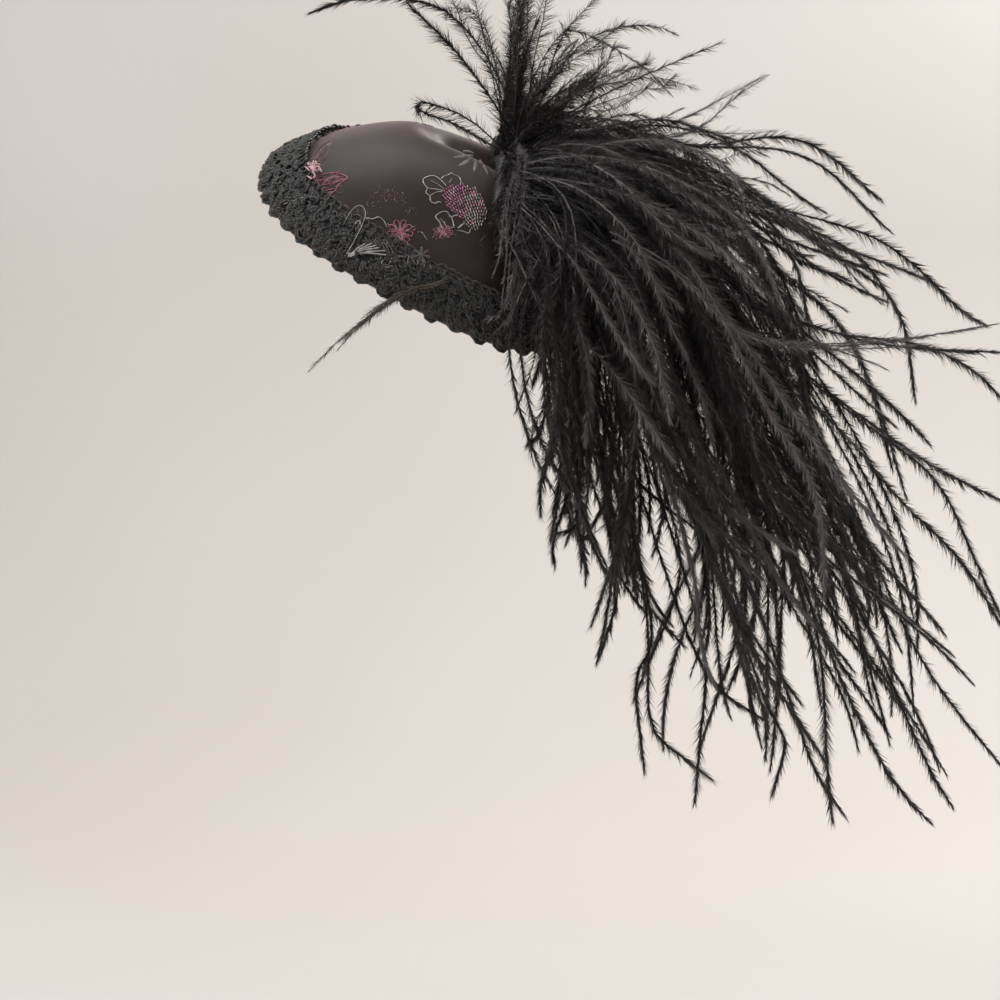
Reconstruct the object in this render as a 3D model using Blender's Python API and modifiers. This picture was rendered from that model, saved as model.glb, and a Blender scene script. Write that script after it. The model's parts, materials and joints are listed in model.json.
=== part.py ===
"""Feather fascinator: a covered teardrop crown with a braided edge, a hair comb under it
and three plumes of long black flues sewn to its back.

Metres, +Z up. The wearer faces -X and the crown leans over their left side, which is -Y.
The origin is the point of the head's surface under the middle of the crown.
The crown's own axes are x to the back, y to the wearer's right and z out of the head.
"""

import math

import bmesh
import bpy
from mathutils import Matrix, Vector

# How the crown sits on the head, in degrees
LEAN_TO_SIDE = 34.5
DIP_TO_BACK = 15.4
TURN_TO_SIDE = 27.4

# The head's surface under the crown, as an ellipsoid's half axes
HEAD_HALF_LENGTH = 0.099
HEAD_HALF_WIDTH = 0.083
HEAD_HALF_HEIGHT = 0.065

# Crown
CROWN_LENGTH = 0.1265
CROWN_WIDTH = 0.136
CROWN_TAPER = 0.17  # share by which the back is wider and the front is narrower
CROWN_WALL = 0.0024
RIM_RISE = 0.0030  # the crown's outer face over the head, at its rim
DOME_RISE = 0.0152  # the same at its middle
DOME_FULLNESS = 2.5  # power of the dome's profile: more is a fuller dome
DOME_BACK_DROP = 0.38  # share of its bulge that the dome loses towards the back
CROWN_SIDES = 48
CROWN_RINGS = 12

# The gutter pressed into the crown's top, from and to shares of its half length and width
GUTTER_FROM = (-0.06, 0.42)
GUTTER_TO = (0.51, -0.02)
GUTTER_DEPTH = 0.0085
GUTTER_HALF_WIDTH = 0.0120

# Braided edge trim
TRIM_WIDTH = 0.0175
TRIM_THICKNESS = 0.0030
TRIM_OVERHANG = 0.0013
SCALLOP_PITCH = 0.0088
SCALLOP_DEPTH = 0.0016
STATIONS_PER_SCALLOP = 4
TRIM_SIDES = 8

# Hair comb
COMB_WIDTH = 0.038
COMB_TEETH = 10
TOOTH_LENGTH = 0.022
SPINE_DEPTH = 0.006
COMB_THICKNESS = 0.0016
COMB_INSET = 0.010  # from the crown's front rim to the comb's spine
TOOTH_ROWS = 3

# Plumes, bound on a line across the crown's back, from and to shares of its half sizes
HEADER_TOP = (0.61, 0.405)
HEADER_FOOT = (0.01, -0.615)
PLUME_REACH = 0.272  # root to tip of the longest lock, in a straight line
PAD_WIDTH = 0.0105
PAD_HEIGHT = 0.0062
LOCK_RADIUS = 0.0088  # at a full lock's thickest
LOCK_ROOT_RADIUS = 0.0016
LOCK_TIP_RADIUS = 0.0012
LOCK_THICKEST = 0.52  # share of its length at which a lock is thickest
LOCK_POINTS = 8
LOCK_SINK = 0.45  # share of the pad's height at which a lock starts

# Clearances between pieces that touch
GAP = 0.0003
PAD_GAP = 0.0010

# Each plume's pad, from and to shares of the header line
PLUME_PADS = {
    "crest_plume": (0.00, 0.38),
    "rear_plume": (0.42, 0.77),
    "side_plume": (0.81, 1.00),
}

# One row for each bunch of locks. Roots are shares of the header line. Bearings are seen
# from the wearer's left, from 0 straight back to 90 straight up. Reaches and depths are
# shares of PLUME_REACH, and a depth is how far the tip lies to the wearer's right of its
# root. Of three locks in turn, one lies at that depth and the others spread to its sides.
# lift is how many degrees above its bearing a lock sets out, rise is how far it goes that
# way as a share of its reach, and hang is how far its end points straight down. girth is a
# share of LOCK_RADIUS.
BUNCH_COLUMNS = (
    "plume locks root_from root_to bearing_from bearing_to reach_from reach_to "
    "depth_from depth_to spread lift rise hang girth"
).split()
BUNCH_ROWS = (
    ("crest_plume", 7, 0.04, 0.18, 66, 122, 0.38, 0.28, -0.03, -0.01, 0.07, 0, 0.40, 0.00, 0.75),
    ("crest_plume", 8, 0.20, 0.29, 54, 20, 0.28, 0.33, 0.02, 0.06, 0.10, 14, 0.36, 0.20, 0.75),
    ("rear_plume", 8, 0.50, 0.57, -13, -33, 0.44, 0.82, 0.13, 0.09, 0.13, 8, 0.34, 0.50, 0.95),
    ("rear_plume", 9, 0.58, 0.65, -31, -49, 0.80, 1.00, 0.13, 0.07, 0.14, 26, 0.34, 0.70, 1.00),
    ("rear_plume", 9, 0.66, 0.71, -50, -66, 0.97, 0.88, 0.15, 0.13, 0.11, 34, 0.34, 0.90, 1.00),
    ("side_plume", 9, 0.85, 0.93, -55, -71, 0.95, 0.76, -0.08, -0.12, 0.06, 30, 0.32, 1.00, 1.00),
    ("side_plume", 5, 0.94, 0.98, -74, -84, 0.66, 0.36, -0.12, -0.12, 0.03, 20, 0.32, 1.20, 0.75),
)


def half_sizes():
    return CROWN_LENGTH / 2, CROWN_WIDTH / 2


def rim_radius(angle):
    """Plan distance from the crown's middle to its rim. Angle 0 is the back."""
    half_length, half_width = half_sizes()
    half_width *= 1 + CROWN_TAPER * math.cos(angle)
    return 1 / math.hypot(math.cos(angle) / half_length, math.sin(angle) / half_width)


def plan_point(angle, radius):
    return radius * math.cos(angle), radius * math.sin(angle)


def smooth_step(value):
    value = min(1.0, max(0.0, value))
    return value * value * (3 - 2 * value)


def head_height(x, y):
    inside = 1 - (x / HEAD_HALF_LENGTH) ** 2 - (y / HEAD_HALF_WIDTH) ** 2
    return HEAD_HALF_HEIGHT * (math.sqrt(max(inside, 0.02)) - 1)


def gutter_depth(x, y):
    half_length, half_width = half_sizes()
    start = Vector((GUTTER_FROM[0] * half_length, GUTTER_FROM[1] * half_width))
    run = Vector((GUTTER_TO[0] * half_length, GUTTER_TO[1] * half_width)) - start
    away = Vector((x, y)) - start
    along = away.dot(run) / run.length_squared
    across = (away - along * run).length / GUTTER_HALF_WIDTH
    opens = smooth_step(along / 0.45)
    closes = 1 - smooth_step((along - 0.8) / 0.4)
    return GUTTER_DEPTH * opens * closes * math.exp(-across * across)


def crown_height(x, y):
    """Height of the crown's outer face over a plan point, in the crown's own axes."""
    share = math.hypot(x, y) / rim_radius(math.atan2(y, x))
    dome = (DOME_RISE - RIM_RISE) * (1 - share**DOME_FULLNESS)
    dome *= 1 - DOME_BACK_DROP * smooth_step(0.1 + x / CROWN_LENGTH * 2.5)
    return head_height(x, y) + RIM_RISE + dome - gutter_depth(x, y)


def crown_normal(x, y):
    step = 0.0005
    slope_x = (crown_height(x + step, y) - crown_height(x - step, y)) / (2 * step)
    slope_y = (crown_height(x, y + step) - crown_height(x, y - step)) / (2 * step)
    return Vector((-slope_x, -slope_y, 1)).normalized()


def over_crown(x, y, above):
    """The point that stands off the crown's outer face by a distance."""
    return Vector((x, y, crown_height(x, y))) + above * crown_normal(x, y)


def crown_matrix():
    return (
        Matrix.Rotation(math.radians(LEAN_TO_SIDE), 4, "X")
        @ Matrix.Rotation(math.radians(DIP_TO_BACK), 4, "Y")
        @ Matrix.Rotation(math.radians(TURN_TO_SIDE), 4, "Z")
    )


def clear_scene():
    for item in list(bpy.data.objects):
        bpy.data.objects.remove(item, do_unlink=True)


def new_collection(name):
    collection = bpy.data.collections.new(name)
    bpy.context.scene.collection.children.link(collection)
    return collection


def material(name, color, roughness, metallic=0.0):
    made = bpy.data.materials.new(name)
    made.use_nodes = True
    shader = made.node_tree.nodes["Principled BSDF"]
    shader.inputs["Base Color"].default_value = (*color, 1)
    shader.inputs["Roughness"].default_value = roughness
    shader.inputs["Metallic"].default_value = metallic
    return made


def object_from_bmesh(name, bm, collection, surface):
    mesh = bpy.data.meshes.new(name)
    bm.to_mesh(mesh)
    bm.free()
    mesh.materials.append(surface)
    mesh.shade_smooth()
    made = bpy.data.objects.new(name, mesh)
    collection.objects.link(made)
    return made


def add_wall(item, thickness):
    """Gives an open surface its thickness, inwards from the face that was modelled."""
    wall = item.modifiers.new("wall", "SOLIDIFY")
    wall.thickness = thickness
    wall.offset = -1
    wall.use_even_offset = True


def make_crown(collection, frame):
    """The covered dome: half a sphere drawn over the crown's outline, with a wall."""
    bm = bmesh.new()
    bmesh.ops.create_uvsphere(
        bm, u_segments=CROWN_SIDES, v_segments=2 * CROWN_RINGS, radius=1
    )
    below = [vert for vert in bm.verts if vert.co.z < -1e-4]
    bmesh.ops.delete(bm, geom=below, context="VERTS")
    for vert in bm.verts:
        share = math.acos(min(1.0, max(0.0, vert.co.z))) / (math.pi / 2)
        angle = math.atan2(vert.co.y, vert.co.x)
        x, y = plan_point(angle, share * rim_radius(angle))
        vert.co = (x, y, crown_height(x, y))
    satin = material("brocade_satin", (0.022, 0.016, 0.018), 0.42)
    crown = object_from_bmesh("crown", bm, collection, satin)
    crown.parent = frame
    add_wall(crown, CROWN_WALL)
    return crown


def rim_angles(count):
    """Angles of points evenly spaced along the rim's own length."""
    fine = 8 * count
    angles = [2 * math.pi * step / fine for step in range(fine + 1)]
    places = [Vector(plan_point(angle, rim_radius(angle))) for angle in angles]
    lengths = [0.0]
    for first, second in zip(places, places[1:]):
        lengths.append(lengths[-1] + (second - first).length)
    found = []
    reached = 0
    for number in range(count):
        wanted = lengths[-1] * number / count
        while lengths[reached + 1] < wanted:
            reached += 1
        span = lengths[reached + 1] - lengths[reached]
        share = (wanted - lengths[reached]) / span
        found.append(angles[reached] + share * (angles[1] - angles[0]))
    return found, lengths[-1]


def inset_radius(angle, distance):
    """Plan radius of the point this far inside the rim, measured along the crown's face."""
    step = distance / 24
    radius = rim_radius(angle)
    last = over_crown(*plan_point(angle, radius), 0)
    walked = 0.0
    while True:
        place = over_crown(*plan_point(angle, radius - step), 0)
        length = (place - last).length
        if walked + length >= distance:
            return radius - step * (distance - walked) / length
        walked += length
        radius -= step
        last = place


def make_trim(collection, frame):
    """The braid along the edge: a ring laid on the crown's face, scalloped along its rim."""
    rim_length = rim_angles(64)[1]
    scallops = round(rim_length / SCALLOP_PITCH)
    stations = scallops * STATIONS_PER_SCALLOP
    bpy.ops.mesh.primitive_torus_add(
        major_segments=stations, minor_segments=TRIM_SIDES, major_radius=2, minor_radius=1
    )
    trim = bpy.context.object
    trim.name = "edge_trim"
    trim.data.name = "edge_trim"
    angles, _ = rim_angles(stations)
    insets = [inset_radius(angle, TRIM_WIDTH) for angle in angles]
    for vert in trim.data.vertices:
        turn = math.atan2(vert.co.y, vert.co.x) % (2 * math.pi)
        station = round(turn / (2 * math.pi) * stations) % stations
        angle = angles[station]
        outward = math.hypot(vert.co.x, vert.co.y) - 2
        lobe = abs(math.sin(math.pi * station / STATIONS_PER_SCALLOP))
        inner = insets[station]
        outer = rim_radius(angle) + TRIM_OVERHANG - SCALLOP_DEPTH * (1 - lobe)
        radius = inner + (outer - inner) * (1 + outward) / 2
        raised = 0.0
        if vert.co.z > 1e-4:
            raised = TRIM_THICKNESS * math.sqrt(vert.co.z) * (0.8 + 0.2 * lobe)
        vert.co = over_crown(*plan_point(angle, radius), GAP + raised)
    for owner in list(trim.users_collection):
        owner.objects.unlink(trim)
    collection.objects.link(trim)
    trim.data.materials.append(material("gimp_braid", (0.012, 0.012, 0.014), 0.5))
    trim.data.shade_smooth()
    trim.parent = frame
    return trim


def comb_height(x, y):
    """The comb's upper face: under the crown's lining at its front, then along the head."""
    half_length, _ = half_sizes()
    front = COMB_INSET - half_length
    wall = (CROWN_WALL + 2 * GAP) / crown_normal(front, y).z
    lining = crown_height(front, y) - wall - head_height(front, y)
    return head_height(x, y) + lining


def make_comb(collection, frame):
    """A plain comb: a grid of faces with the gaps between its teeth taken out."""
    half_length, _ = half_sizes()
    columns = 2 * COMB_TEETH - 1
    bm = bmesh.new()
    bmesh.ops.create_grid(bm, x_segments=1 + TOOTH_ROWS, y_segments=columns, size=1)
    gaps = []
    for face in bm.faces:
        middle = face.calc_center_median()
        row = int((middle.x + 1) / 2 * (1 + TOOTH_ROWS))
        column = int((middle.y + 1) / 2 * columns)
        if row > 0 and column % 2:
            gaps.append(face)
    bmesh.ops.delete(bm, geom=gaps, context="FACES")
    front = COMB_INSET - half_length
    for vert in bm.verts:
        row = round((vert.co.x + 1) / 2 * (1 + TOOTH_ROWS))
        x = front
        if row:
            x = front + SPINE_DEPTH + TOOTH_LENGTH * (row - 1) / TOOTH_ROWS
        y = vert.co.y * COMB_WIDTH / 2
        vert.co = (x, y, comb_height(x, y) - 0.0012 * smooth_step((row - 1) / TOOTH_ROWS))
    plastic = material("comb_plastic", (0.015, 0.014, 0.013), 0.3)
    comb = object_from_bmesh("hair_comb", bm, collection, plastic)
    comb.parent = frame
    add_wall(comb, COMB_THICKNESS)
    return comb


def header_ends():
    half_length, half_width = half_sizes()
    top = Vector((HEADER_TOP[0] * half_length, HEADER_TOP[1] * half_width))
    foot = Vector((HEADER_FOOT[0] * half_length, HEADER_FOOT[1] * half_width))
    return top, foot


def header_point(share, across):
    """Plan point at a share of the header line, some way off to its back."""
    top, foot = header_ends()
    run = (foot - top).normalized()
    place = top.lerp(foot, share) + across * Vector((-run.y, run.x))
    return place.x, place.y


def make_pad(name, collection, frame_matrix, surface):
    """The bound roots of a plume: a low mound laid on the crown."""
    start, end = PLUME_PADS[name]
    bm = bmesh.new()
    bmesh.ops.create_uvsphere(bm, u_segments=16, v_segments=8, radius=1)
    for vert in bm.verts:
        raised = PAD_HEIGHT * max(vert.co.z, 0.0)
        inset = 0.98 if vert.co.z < -1e-4 else 1.0
        if abs(vert.co.z) <= 1e-4:
            raised = PAD_HEIGHT * 0.2
        share = start + (end - start) * (1 + inset * vert.co.x) / 2
        x, y = header_point(share, inset * vert.co.y * PAD_WIDTH / 2)
        vert.co = frame_matrix @ over_crown(x, y, PAD_GAP + raised)
    return object_from_bmesh(name, bm, collection, surface)


def between(bunch, name, share):
    return bunch[name + "_from"] + share * (bunch[name + "_to"] - bunch[name + "_from"])


def lock_points(bunch, number, frame_matrix):
    """Points down the middle of one lock, on a smooth curve from the pad to its tip."""
    share = number / (bunch["locks"] - 1)
    side = number % 3 - 1
    x, y = header_point(between(bunch, "root", share), 0.12 * side * PAD_WIDTH)
    root = frame_matrix @ over_crown(x, y, PAD_GAP + LOCK_SINK * PAD_HEIGHT)
    out = frame_matrix.to_3x3() @ crown_normal(x, y)
    reach = PLUME_REACH * between(bunch, "reach", share) * (1 - 0.12 * (number % 4 == 2))
    depth = PLUME_REACH * (between(bunch, "depth", share) + bunch["spread"] * side)
    bearing = math.radians(between(bunch, "bearing", share))
    toward = Vector((math.cos(bearing), 0, math.sin(bearing)))
    tip = root + reach * toward + Vector((0, depth, 0))
    lifted = bearing + math.radians(bunch["lift"])
    first = (0.6 * out + Vector((math.cos(lifted), 0, math.sin(lifted)))).normalized()
    rise = root + bunch["rise"] * reach * first
    ends = (toward + bunch["hang"] * Vector((0, 0, -1))).normalized()
    fall = tip - 0.44 * reach * ends
    points = []
    for step in range(LOCK_POINTS):
        t = step / (LOCK_POINTS - 1)
        s = 1 - t
        points.append(s**3 * root + 3 * s * s * t * rise + 3 * s * t * t * fall + t**3 * tip)
    return points


def lock_radius(share, girth):
    """A lock is thin where it is bound, full at its middle and fine at its tip."""
    swell = math.sin(math.pi * share ** (math.log(0.5) / math.log(LOCK_THICKEST))) ** 0.8
    ends = LOCK_ROOT_RADIUS + share * (LOCK_TIP_RADIUS - LOCK_ROOT_RADIUS)
    return ends + (girth * LOCK_RADIUS - LOCK_ROOT_RADIUS) * swell


def make_lock(bunch, name, number, frame_matrix, helpers):
    curve = bpy.data.curves.new(name, "CURVE")
    curve.dimensions = "3D"
    curve.bevel_depth = 1.0
    curve.bevel_resolution = 1
    curve.use_fill_caps = True
    spline = curve.splines.new("POLY")
    spline.points.add(LOCK_POINTS - 1)
    for step, place in enumerate(lock_points(bunch, number, frame_matrix)):
        spline.points[step].co = (*place, 1)
        spline.points[step].radius = lock_radius(step / (LOCK_POINTS - 1), bunch["girth"])
    tube = bpy.data.objects.new(curve.name, curve)
    helpers.objects.link(tube)
    bpy.context.view_layer.update()
    graph = bpy.context.evaluated_depsgraph_get()
    mesh = bpy.data.meshes.new_from_object(tube.evaluated_get(graph))
    bm = bmesh.new()
    bm.from_mesh(mesh)
    bmesh.ops.remove_doubles(bm, verts=bm.verts, dist=1e-6)
    bmesh.ops.recalc_face_normals(bm, faces=bm.faces)
    bm.to_mesh(mesh)
    bm.free()
    lock = bpy.data.objects.new(curve.name, mesh)
    lock.matrix_world = tube.matrix_world
    bpy.data.objects.remove(tube)
    helpers.objects.link(lock)
    lock.hide_render = True
    lock.display_type = "WIRE"
    return lock


def fill_pockets(item):
    """Makes the fused bunch solid where its locks close off a small pocket of air."""
    graph = bpy.context.evaluated_depsgraph_get()
    mesh = bpy.data.meshes.new_from_object(item.evaluated_get(graph))
    bm = bmesh.new()
    bm.from_mesh(mesh)
    waiting = set(bm.faces)
    while waiting:
        shell = {waiting.pop()}
        edge_of = list(shell)
        while edge_of:
            face = edge_of.pop()
            near = {other for edge in face.edges for other in edge.link_faces}
            edge_of.extend(near - shell)
            shell |= near
        waiting -= shell
        volume = 0.0
        for face in shell:
            corner = face.verts[0].co
            for first, second in zip(face.verts[1:], face.verts[2:]):
                volume += corner.dot(first.co.cross(second.co)) / 6
        if volume < 0:
            bmesh.ops.delete(bm, geom=list(shell), context="FACES")
    loose = [vert for vert in bm.verts if not vert.link_faces]
    bmesh.ops.delete(bm, geom=loose, context="VERTS")
    bm.to_mesh(mesh)
    bm.free()
    mesh.name = item.name
    item.modifiers.clear()
    item.data = mesh


def make_plume(name, collection, frame_matrix, surface):
    """A pad with all the locks of its bunches fused to it."""
    plume = make_pad(name, collection, frame_matrix, surface)
    helpers = new_collection(name + "_locks")
    helpers.hide_render = True
    bunches = [dict(zip(BUNCH_COLUMNS, row)) for row in BUNCH_ROWS if row[0] == name]
    for order, bunch in enumerate(bunches):
        for number in range(bunch["locks"]):
            lock_name = f"{name}_lock_{order}_{number}"
            make_lock(bunch, lock_name, number, frame_matrix, helpers)
    fuse = plume.modifiers.new("fuse", "BOOLEAN")
    fuse.operation = "UNION"
    fuse.operand_type = "COLLECTION"
    fuse.collection = helpers
    fuse.solver = "EXACT"
    bpy.context.view_layer.update()
    fill_pockets(plume)
    return plume


def main():
    clear_scene()
    collection = new_collection("feather_fascinator")
    frame = bpy.data.objects.new("crown_frame", None)
    collection.objects.link(frame)
    frame.matrix_world = crown_matrix()
    make_crown(collection, frame)
    make_trim(collection, frame)
    make_comb(collection, frame)
    feather = material("black_feather", (0.010, 0.009, 0.010), 0.6)
    for name in PLUME_PADS:
        make_plume(name, collection, crown_matrix(), feather)


main()
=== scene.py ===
"""Looks for the feather fascinator: brocade crown, looped braid, comb and ostrich flues."""

import json
import math

import bmesh
import bpy
import numpy as np
from mathutils import Matrix, Vector
from mathutils.bvhtree import BVHTree

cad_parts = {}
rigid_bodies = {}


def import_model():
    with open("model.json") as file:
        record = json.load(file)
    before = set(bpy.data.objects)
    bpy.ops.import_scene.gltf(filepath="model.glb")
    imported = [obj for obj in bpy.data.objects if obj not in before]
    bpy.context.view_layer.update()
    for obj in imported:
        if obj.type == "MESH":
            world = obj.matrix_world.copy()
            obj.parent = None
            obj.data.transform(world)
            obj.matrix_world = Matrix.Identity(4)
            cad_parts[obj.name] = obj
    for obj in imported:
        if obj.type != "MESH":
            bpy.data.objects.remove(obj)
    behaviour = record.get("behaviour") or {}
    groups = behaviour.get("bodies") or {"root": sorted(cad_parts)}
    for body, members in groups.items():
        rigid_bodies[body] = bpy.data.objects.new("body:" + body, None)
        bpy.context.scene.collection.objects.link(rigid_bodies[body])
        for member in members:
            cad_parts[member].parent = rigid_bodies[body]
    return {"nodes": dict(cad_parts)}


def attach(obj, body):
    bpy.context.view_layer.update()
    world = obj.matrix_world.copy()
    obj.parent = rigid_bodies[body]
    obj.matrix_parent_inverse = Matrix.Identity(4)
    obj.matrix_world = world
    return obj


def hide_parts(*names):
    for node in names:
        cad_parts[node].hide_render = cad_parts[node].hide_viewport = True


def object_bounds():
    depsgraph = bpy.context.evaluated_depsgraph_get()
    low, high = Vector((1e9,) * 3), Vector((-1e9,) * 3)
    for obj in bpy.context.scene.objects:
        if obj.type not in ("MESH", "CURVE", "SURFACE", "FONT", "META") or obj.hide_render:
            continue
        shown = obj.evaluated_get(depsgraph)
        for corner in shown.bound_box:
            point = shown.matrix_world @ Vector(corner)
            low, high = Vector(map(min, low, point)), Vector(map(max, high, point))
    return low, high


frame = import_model()
cad_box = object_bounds()

MM = 0.001
scene = bpy.context.scene

# The camera stands level with the photo's middle, 0.8 m from the crown
PIXEL = 0.36 * MM
ORIGIN_PX = (441.2, 185.2)
CAMERA_DISTANCE = 0.8

# The crown as the CAD has it, in its own axes, in metres
LEAN, DIP, TURN = 34.5, 15.4, 27.4
HEAD_HALF = (0.099, 0.083, 0.065)
HALF_LENGTH, HALF_WIDTH, TAPER = 0.1265 / 2, 0.136 / 2, 0.17
WALL = 0.0024
RIM_RISE, DOME_RISE, FULLNESS, BACK_DROP = 0.0030, 0.0152, 2.5, 0.38
GUTTER_FROM, GUTTER_TO = (-0.06, 0.42), (0.51, -0.02)
GUTTER_DEPTH, GUTTER_HALF_WIDTH = 0.0085, 0.0120
TRIM_WIDTH, TRIM_OVERHANG = 0.0175, 0.0013
SCALLOP_PITCH, SCALLOP_DEPTH = 0.0088, 0.0016
HEADER_TOP, HEADER_FOOT = (0.61, 0.405), (0.01, -0.615)
PAD_WIDTH, PAD_HEIGHT, PAD_GAP = 0.0105, 0.0062, 0.0010

CROWN_MATRIX = (
    Matrix.Rotation(math.radians(LEAN), 4, "X")
    @ Matrix.Rotation(math.radians(DIP), 4, "Y")
    @ Matrix.Rotation(math.radians(TURN), 4, "Z")
)
TURN3 = np.array(CROWN_MATRIX.to_3x3())


def unit(vectors):
    return vectors / np.maximum(np.linalg.norm(vectors, axis=-1, keepdims=True), 1e-12)


def smooth_step(value):
    value = np.clip(value, 0, 1)
    return value * value * (3 - 2 * value)


def rim_radius(angle):
    half_width = HALF_WIDTH * (1 + TAPER * np.cos(angle))
    return 1 / np.hypot(np.cos(angle) / HALF_LENGTH, np.sin(angle) / half_width)


def crown_height(x, y):
    head = 1 - (x / HEAD_HALF[0]) ** 2 - (y / HEAD_HALF[1]) ** 2
    head = HEAD_HALF[2] * (np.sqrt(np.maximum(head, 0.02)) - 1)
    share = np.hypot(x, y) / rim_radius(np.arctan2(y, x))
    dome = (DOME_RISE - RIM_RISE) * (1 - share**FULLNESS)
    dome *= 1 - BACK_DROP * smooth_step(0.1 + x / HALF_LENGTH * 1.25)
    start = np.array([GUTTER_FROM[0] * HALF_LENGTH, GUTTER_FROM[1] * HALF_WIDTH])
    run = np.array([GUTTER_TO[0] * HALF_LENGTH, GUTTER_TO[1] * HALF_WIDTH]) - start
    along = ((x - start[0]) * run[0] + (y - start[1]) * run[1]) / run.dot(run)
    across = np.hypot(x - start[0] - along * run[0], y - start[1] - along * run[1])
    gutter = smooth_step(along / 0.45) * (1 - smooth_step((along - 0.8) / 0.4))
    gutter = GUTTER_DEPTH * gutter * np.exp(-((across / GUTTER_HALF_WIDTH) ** 2))
    return head + RIM_RISE + dome - gutter


def crown_normal(x, y):
    step = 0.0004
    slope_x = (crown_height(x + step, y) - crown_height(x - step, y)) / (2 * step)
    slope_y = (crown_height(x, y + step) - crown_height(x, y - step)) / (2 * step)
    return unit(np.stack([-slope_x, -slope_y, np.ones_like(slope_x)], axis=-1))


def over_crown(x, y, above):
    """World points that stand off the crown's outer face."""
    x, y = np.broadcast_arrays(np.asarray(x, float), np.asarray(y, float))
    place = np.stack([x, y, crown_height(x, y)], axis=-1)
    above = np.asarray(above, float)[..., None]
    return (place + above * crown_normal(x, y)) @ TURN3.T


def clear_of_crown(points, above):
    """Lifts any point that would be inside the crown to stand this far off its outer face."""
    local = points @ TURN3
    x, y = local[:, 0], local[:, 1]
    face = crown_height(x, y) + above
    over = np.hypot(x, y) < rim_radius(np.arctan2(y, x)) + 0.0015
    sunk = over & (local[:, 2] < face) & (local[:, 2] > face - 0.05)
    local[:, 2] = np.where(sunk, face, local[:, 2])
    return local @ TURN3.T


def header_point(share, across=0.0):
    top = np.array([HEADER_TOP[0] * HALF_LENGTH, HEADER_TOP[1] * HALF_WIDTH])
    foot = np.array([HEADER_FOOT[0] * HALF_LENGTH, HEADER_FOOT[1] * HALF_WIDTH])
    run = unit(foot - top)
    return top + share * (foot - top) + across * np.array([-run[1], run[0]])


def from_pixel(px, py, depth):
    """World point that the camera sees at a pixel of the photo, at this world Y."""
    grow = (CAMERA_DISTANCE + depth) / CAMERA_DISTANCE * PIXEL
    x = (500 - ORIGIN_PX[0]) * PIXEL + (px - 500) * grow
    z = (ORIGIN_PX[1] - 500) * PIXEL - (py - 500) * grow
    return np.array([x, depth, z])


# Meshes


class Parts:
    """Gathers vertices and faces of many small pieces for one mesh."""

    def __init__(self):
        self.verts, self.faces, self.tints, self.count = [], [], [], 0

    def add(self, verts, faces, tint=0.5):
        verts = np.asarray(verts, float).reshape(-1, 3)
        self.verts.append(verts)
        self.faces.append(np.asarray(faces) + self.count)
        tint = np.broadcast_to(np.asarray(tint, float), (len(verts),))
        self.tints.append(tint)
        self.count += len(verts)

    def make(self, name, material, slot, smooth=True):
        verts = np.concatenate(self.verts)
        loops, starts, at = [], [], 0
        for block in self.faces:
            width = block.shape[1]
            loops.append(block.reshape(-1))
            starts.append(at + width * np.arange(len(block)))
            at += block.size
        loops, starts = np.concatenate(loops), np.concatenate(starts)
        mesh = bpy.data.meshes.new(name)
        mesh.vertices.add(len(verts))
        mesh.vertices.foreach_set("co", verts.reshape(-1).astype(np.float32))
        mesh.loops.add(len(loops))
        mesh.loops.foreach_set("vertex_index", loops.astype(np.int32))
        mesh.polygons.add(len(starts))
        mesh.polygons.foreach_set("loop_start", starts.astype(np.int32))
        mesh.polygons.foreach_set("use_smooth", np.full(len(starts), smooth))
        mesh.update(calc_edges=True)
        mesh.validate()
        tint = mesh.attributes.new("tint", "FLOAT", "POINT")
        tint.data.foreach_set("value", np.concatenate(self.tints).astype(np.float32))
        mesh.materials.append(material)
        made = bpy.data.objects.new(name, mesh)
        scene.collection.objects.link(made)
        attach(made, "root")
        return made


def side_frames(points):
    """Tangents and two directions across a path that don't spin along it."""
    tangents = unit(np.gradient(points, axis=0))
    across = np.zeros_like(points)
    start = np.array([0.0, 0.0, 1.0])
    if abs(tangents[0] @ start) > 0.8:
        start = np.array([0.0, 1.0, 0.0])
    last = unit(start - tangents[0] * (start @ tangents[0]))
    for number, tangent in enumerate(tangents):
        last = last - tangent * (last @ tangent)
        last = last / max(np.linalg.norm(last), 1e-9)
        across[number] = last
    return tangents, across, np.cross(tangents, across)


def tube(parts, points, radii, sides=4, closed=False, tint=0.5):
    points = np.asarray(points, float)
    count = len(points)
    _, first, second = side_frames(points)
    turn = 2 * np.pi * np.arange(sides) / sides
    radii = np.broadcast_to(np.asarray(radii, float), (count,))
    ring = np.cos(turn)[None, :, None] * first[:, None] + np.sin(turn)[
        None, :, None
    ] * second[:, None]
    verts = points[:, None] + radii[:, None, None] * ring
    rows = np.arange(count if closed else count - 1)
    after = (rows + 1) % count
    side = np.arange(sides)
    next_side = (side + 1) % sides
    quads = np.stack(
        [
            rows[:, None] * sides + side,
            rows[:, None] * sides + next_side,
            after[:, None] * sides + next_side,
            after[:, None] * sides + side,
        ],
        axis=-1,
    ).reshape(-1, 4)
    if np.ndim(tint):
        tint = np.repeat(tint, sides)
    parts.add(verts, quads, tint)


def bezier(points, count):
    """Smooth path through a few chosen points, evenly spaced."""
    points = np.asarray(points, float)
    padded = np.vstack([2 * points[0] - points[1], points, 2 * points[-1] - points[-2]])
    found = []
    for at in range(len(points) - 1):
        a, b, c, d = padded[at : at + 4]
        t = np.linspace(0, 1, 16, endpoint=at == len(points) - 2)[:, None]
        found.append(
            0.5
            * (
                2 * b
                + (c - a) * t
                + (2 * a - 5 * b + 4 * c - d) * t**2
                + (3 * b - a - 3 * c + d) * t**3
            )
        )
    return even(np.vstack(found), count)


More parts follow.
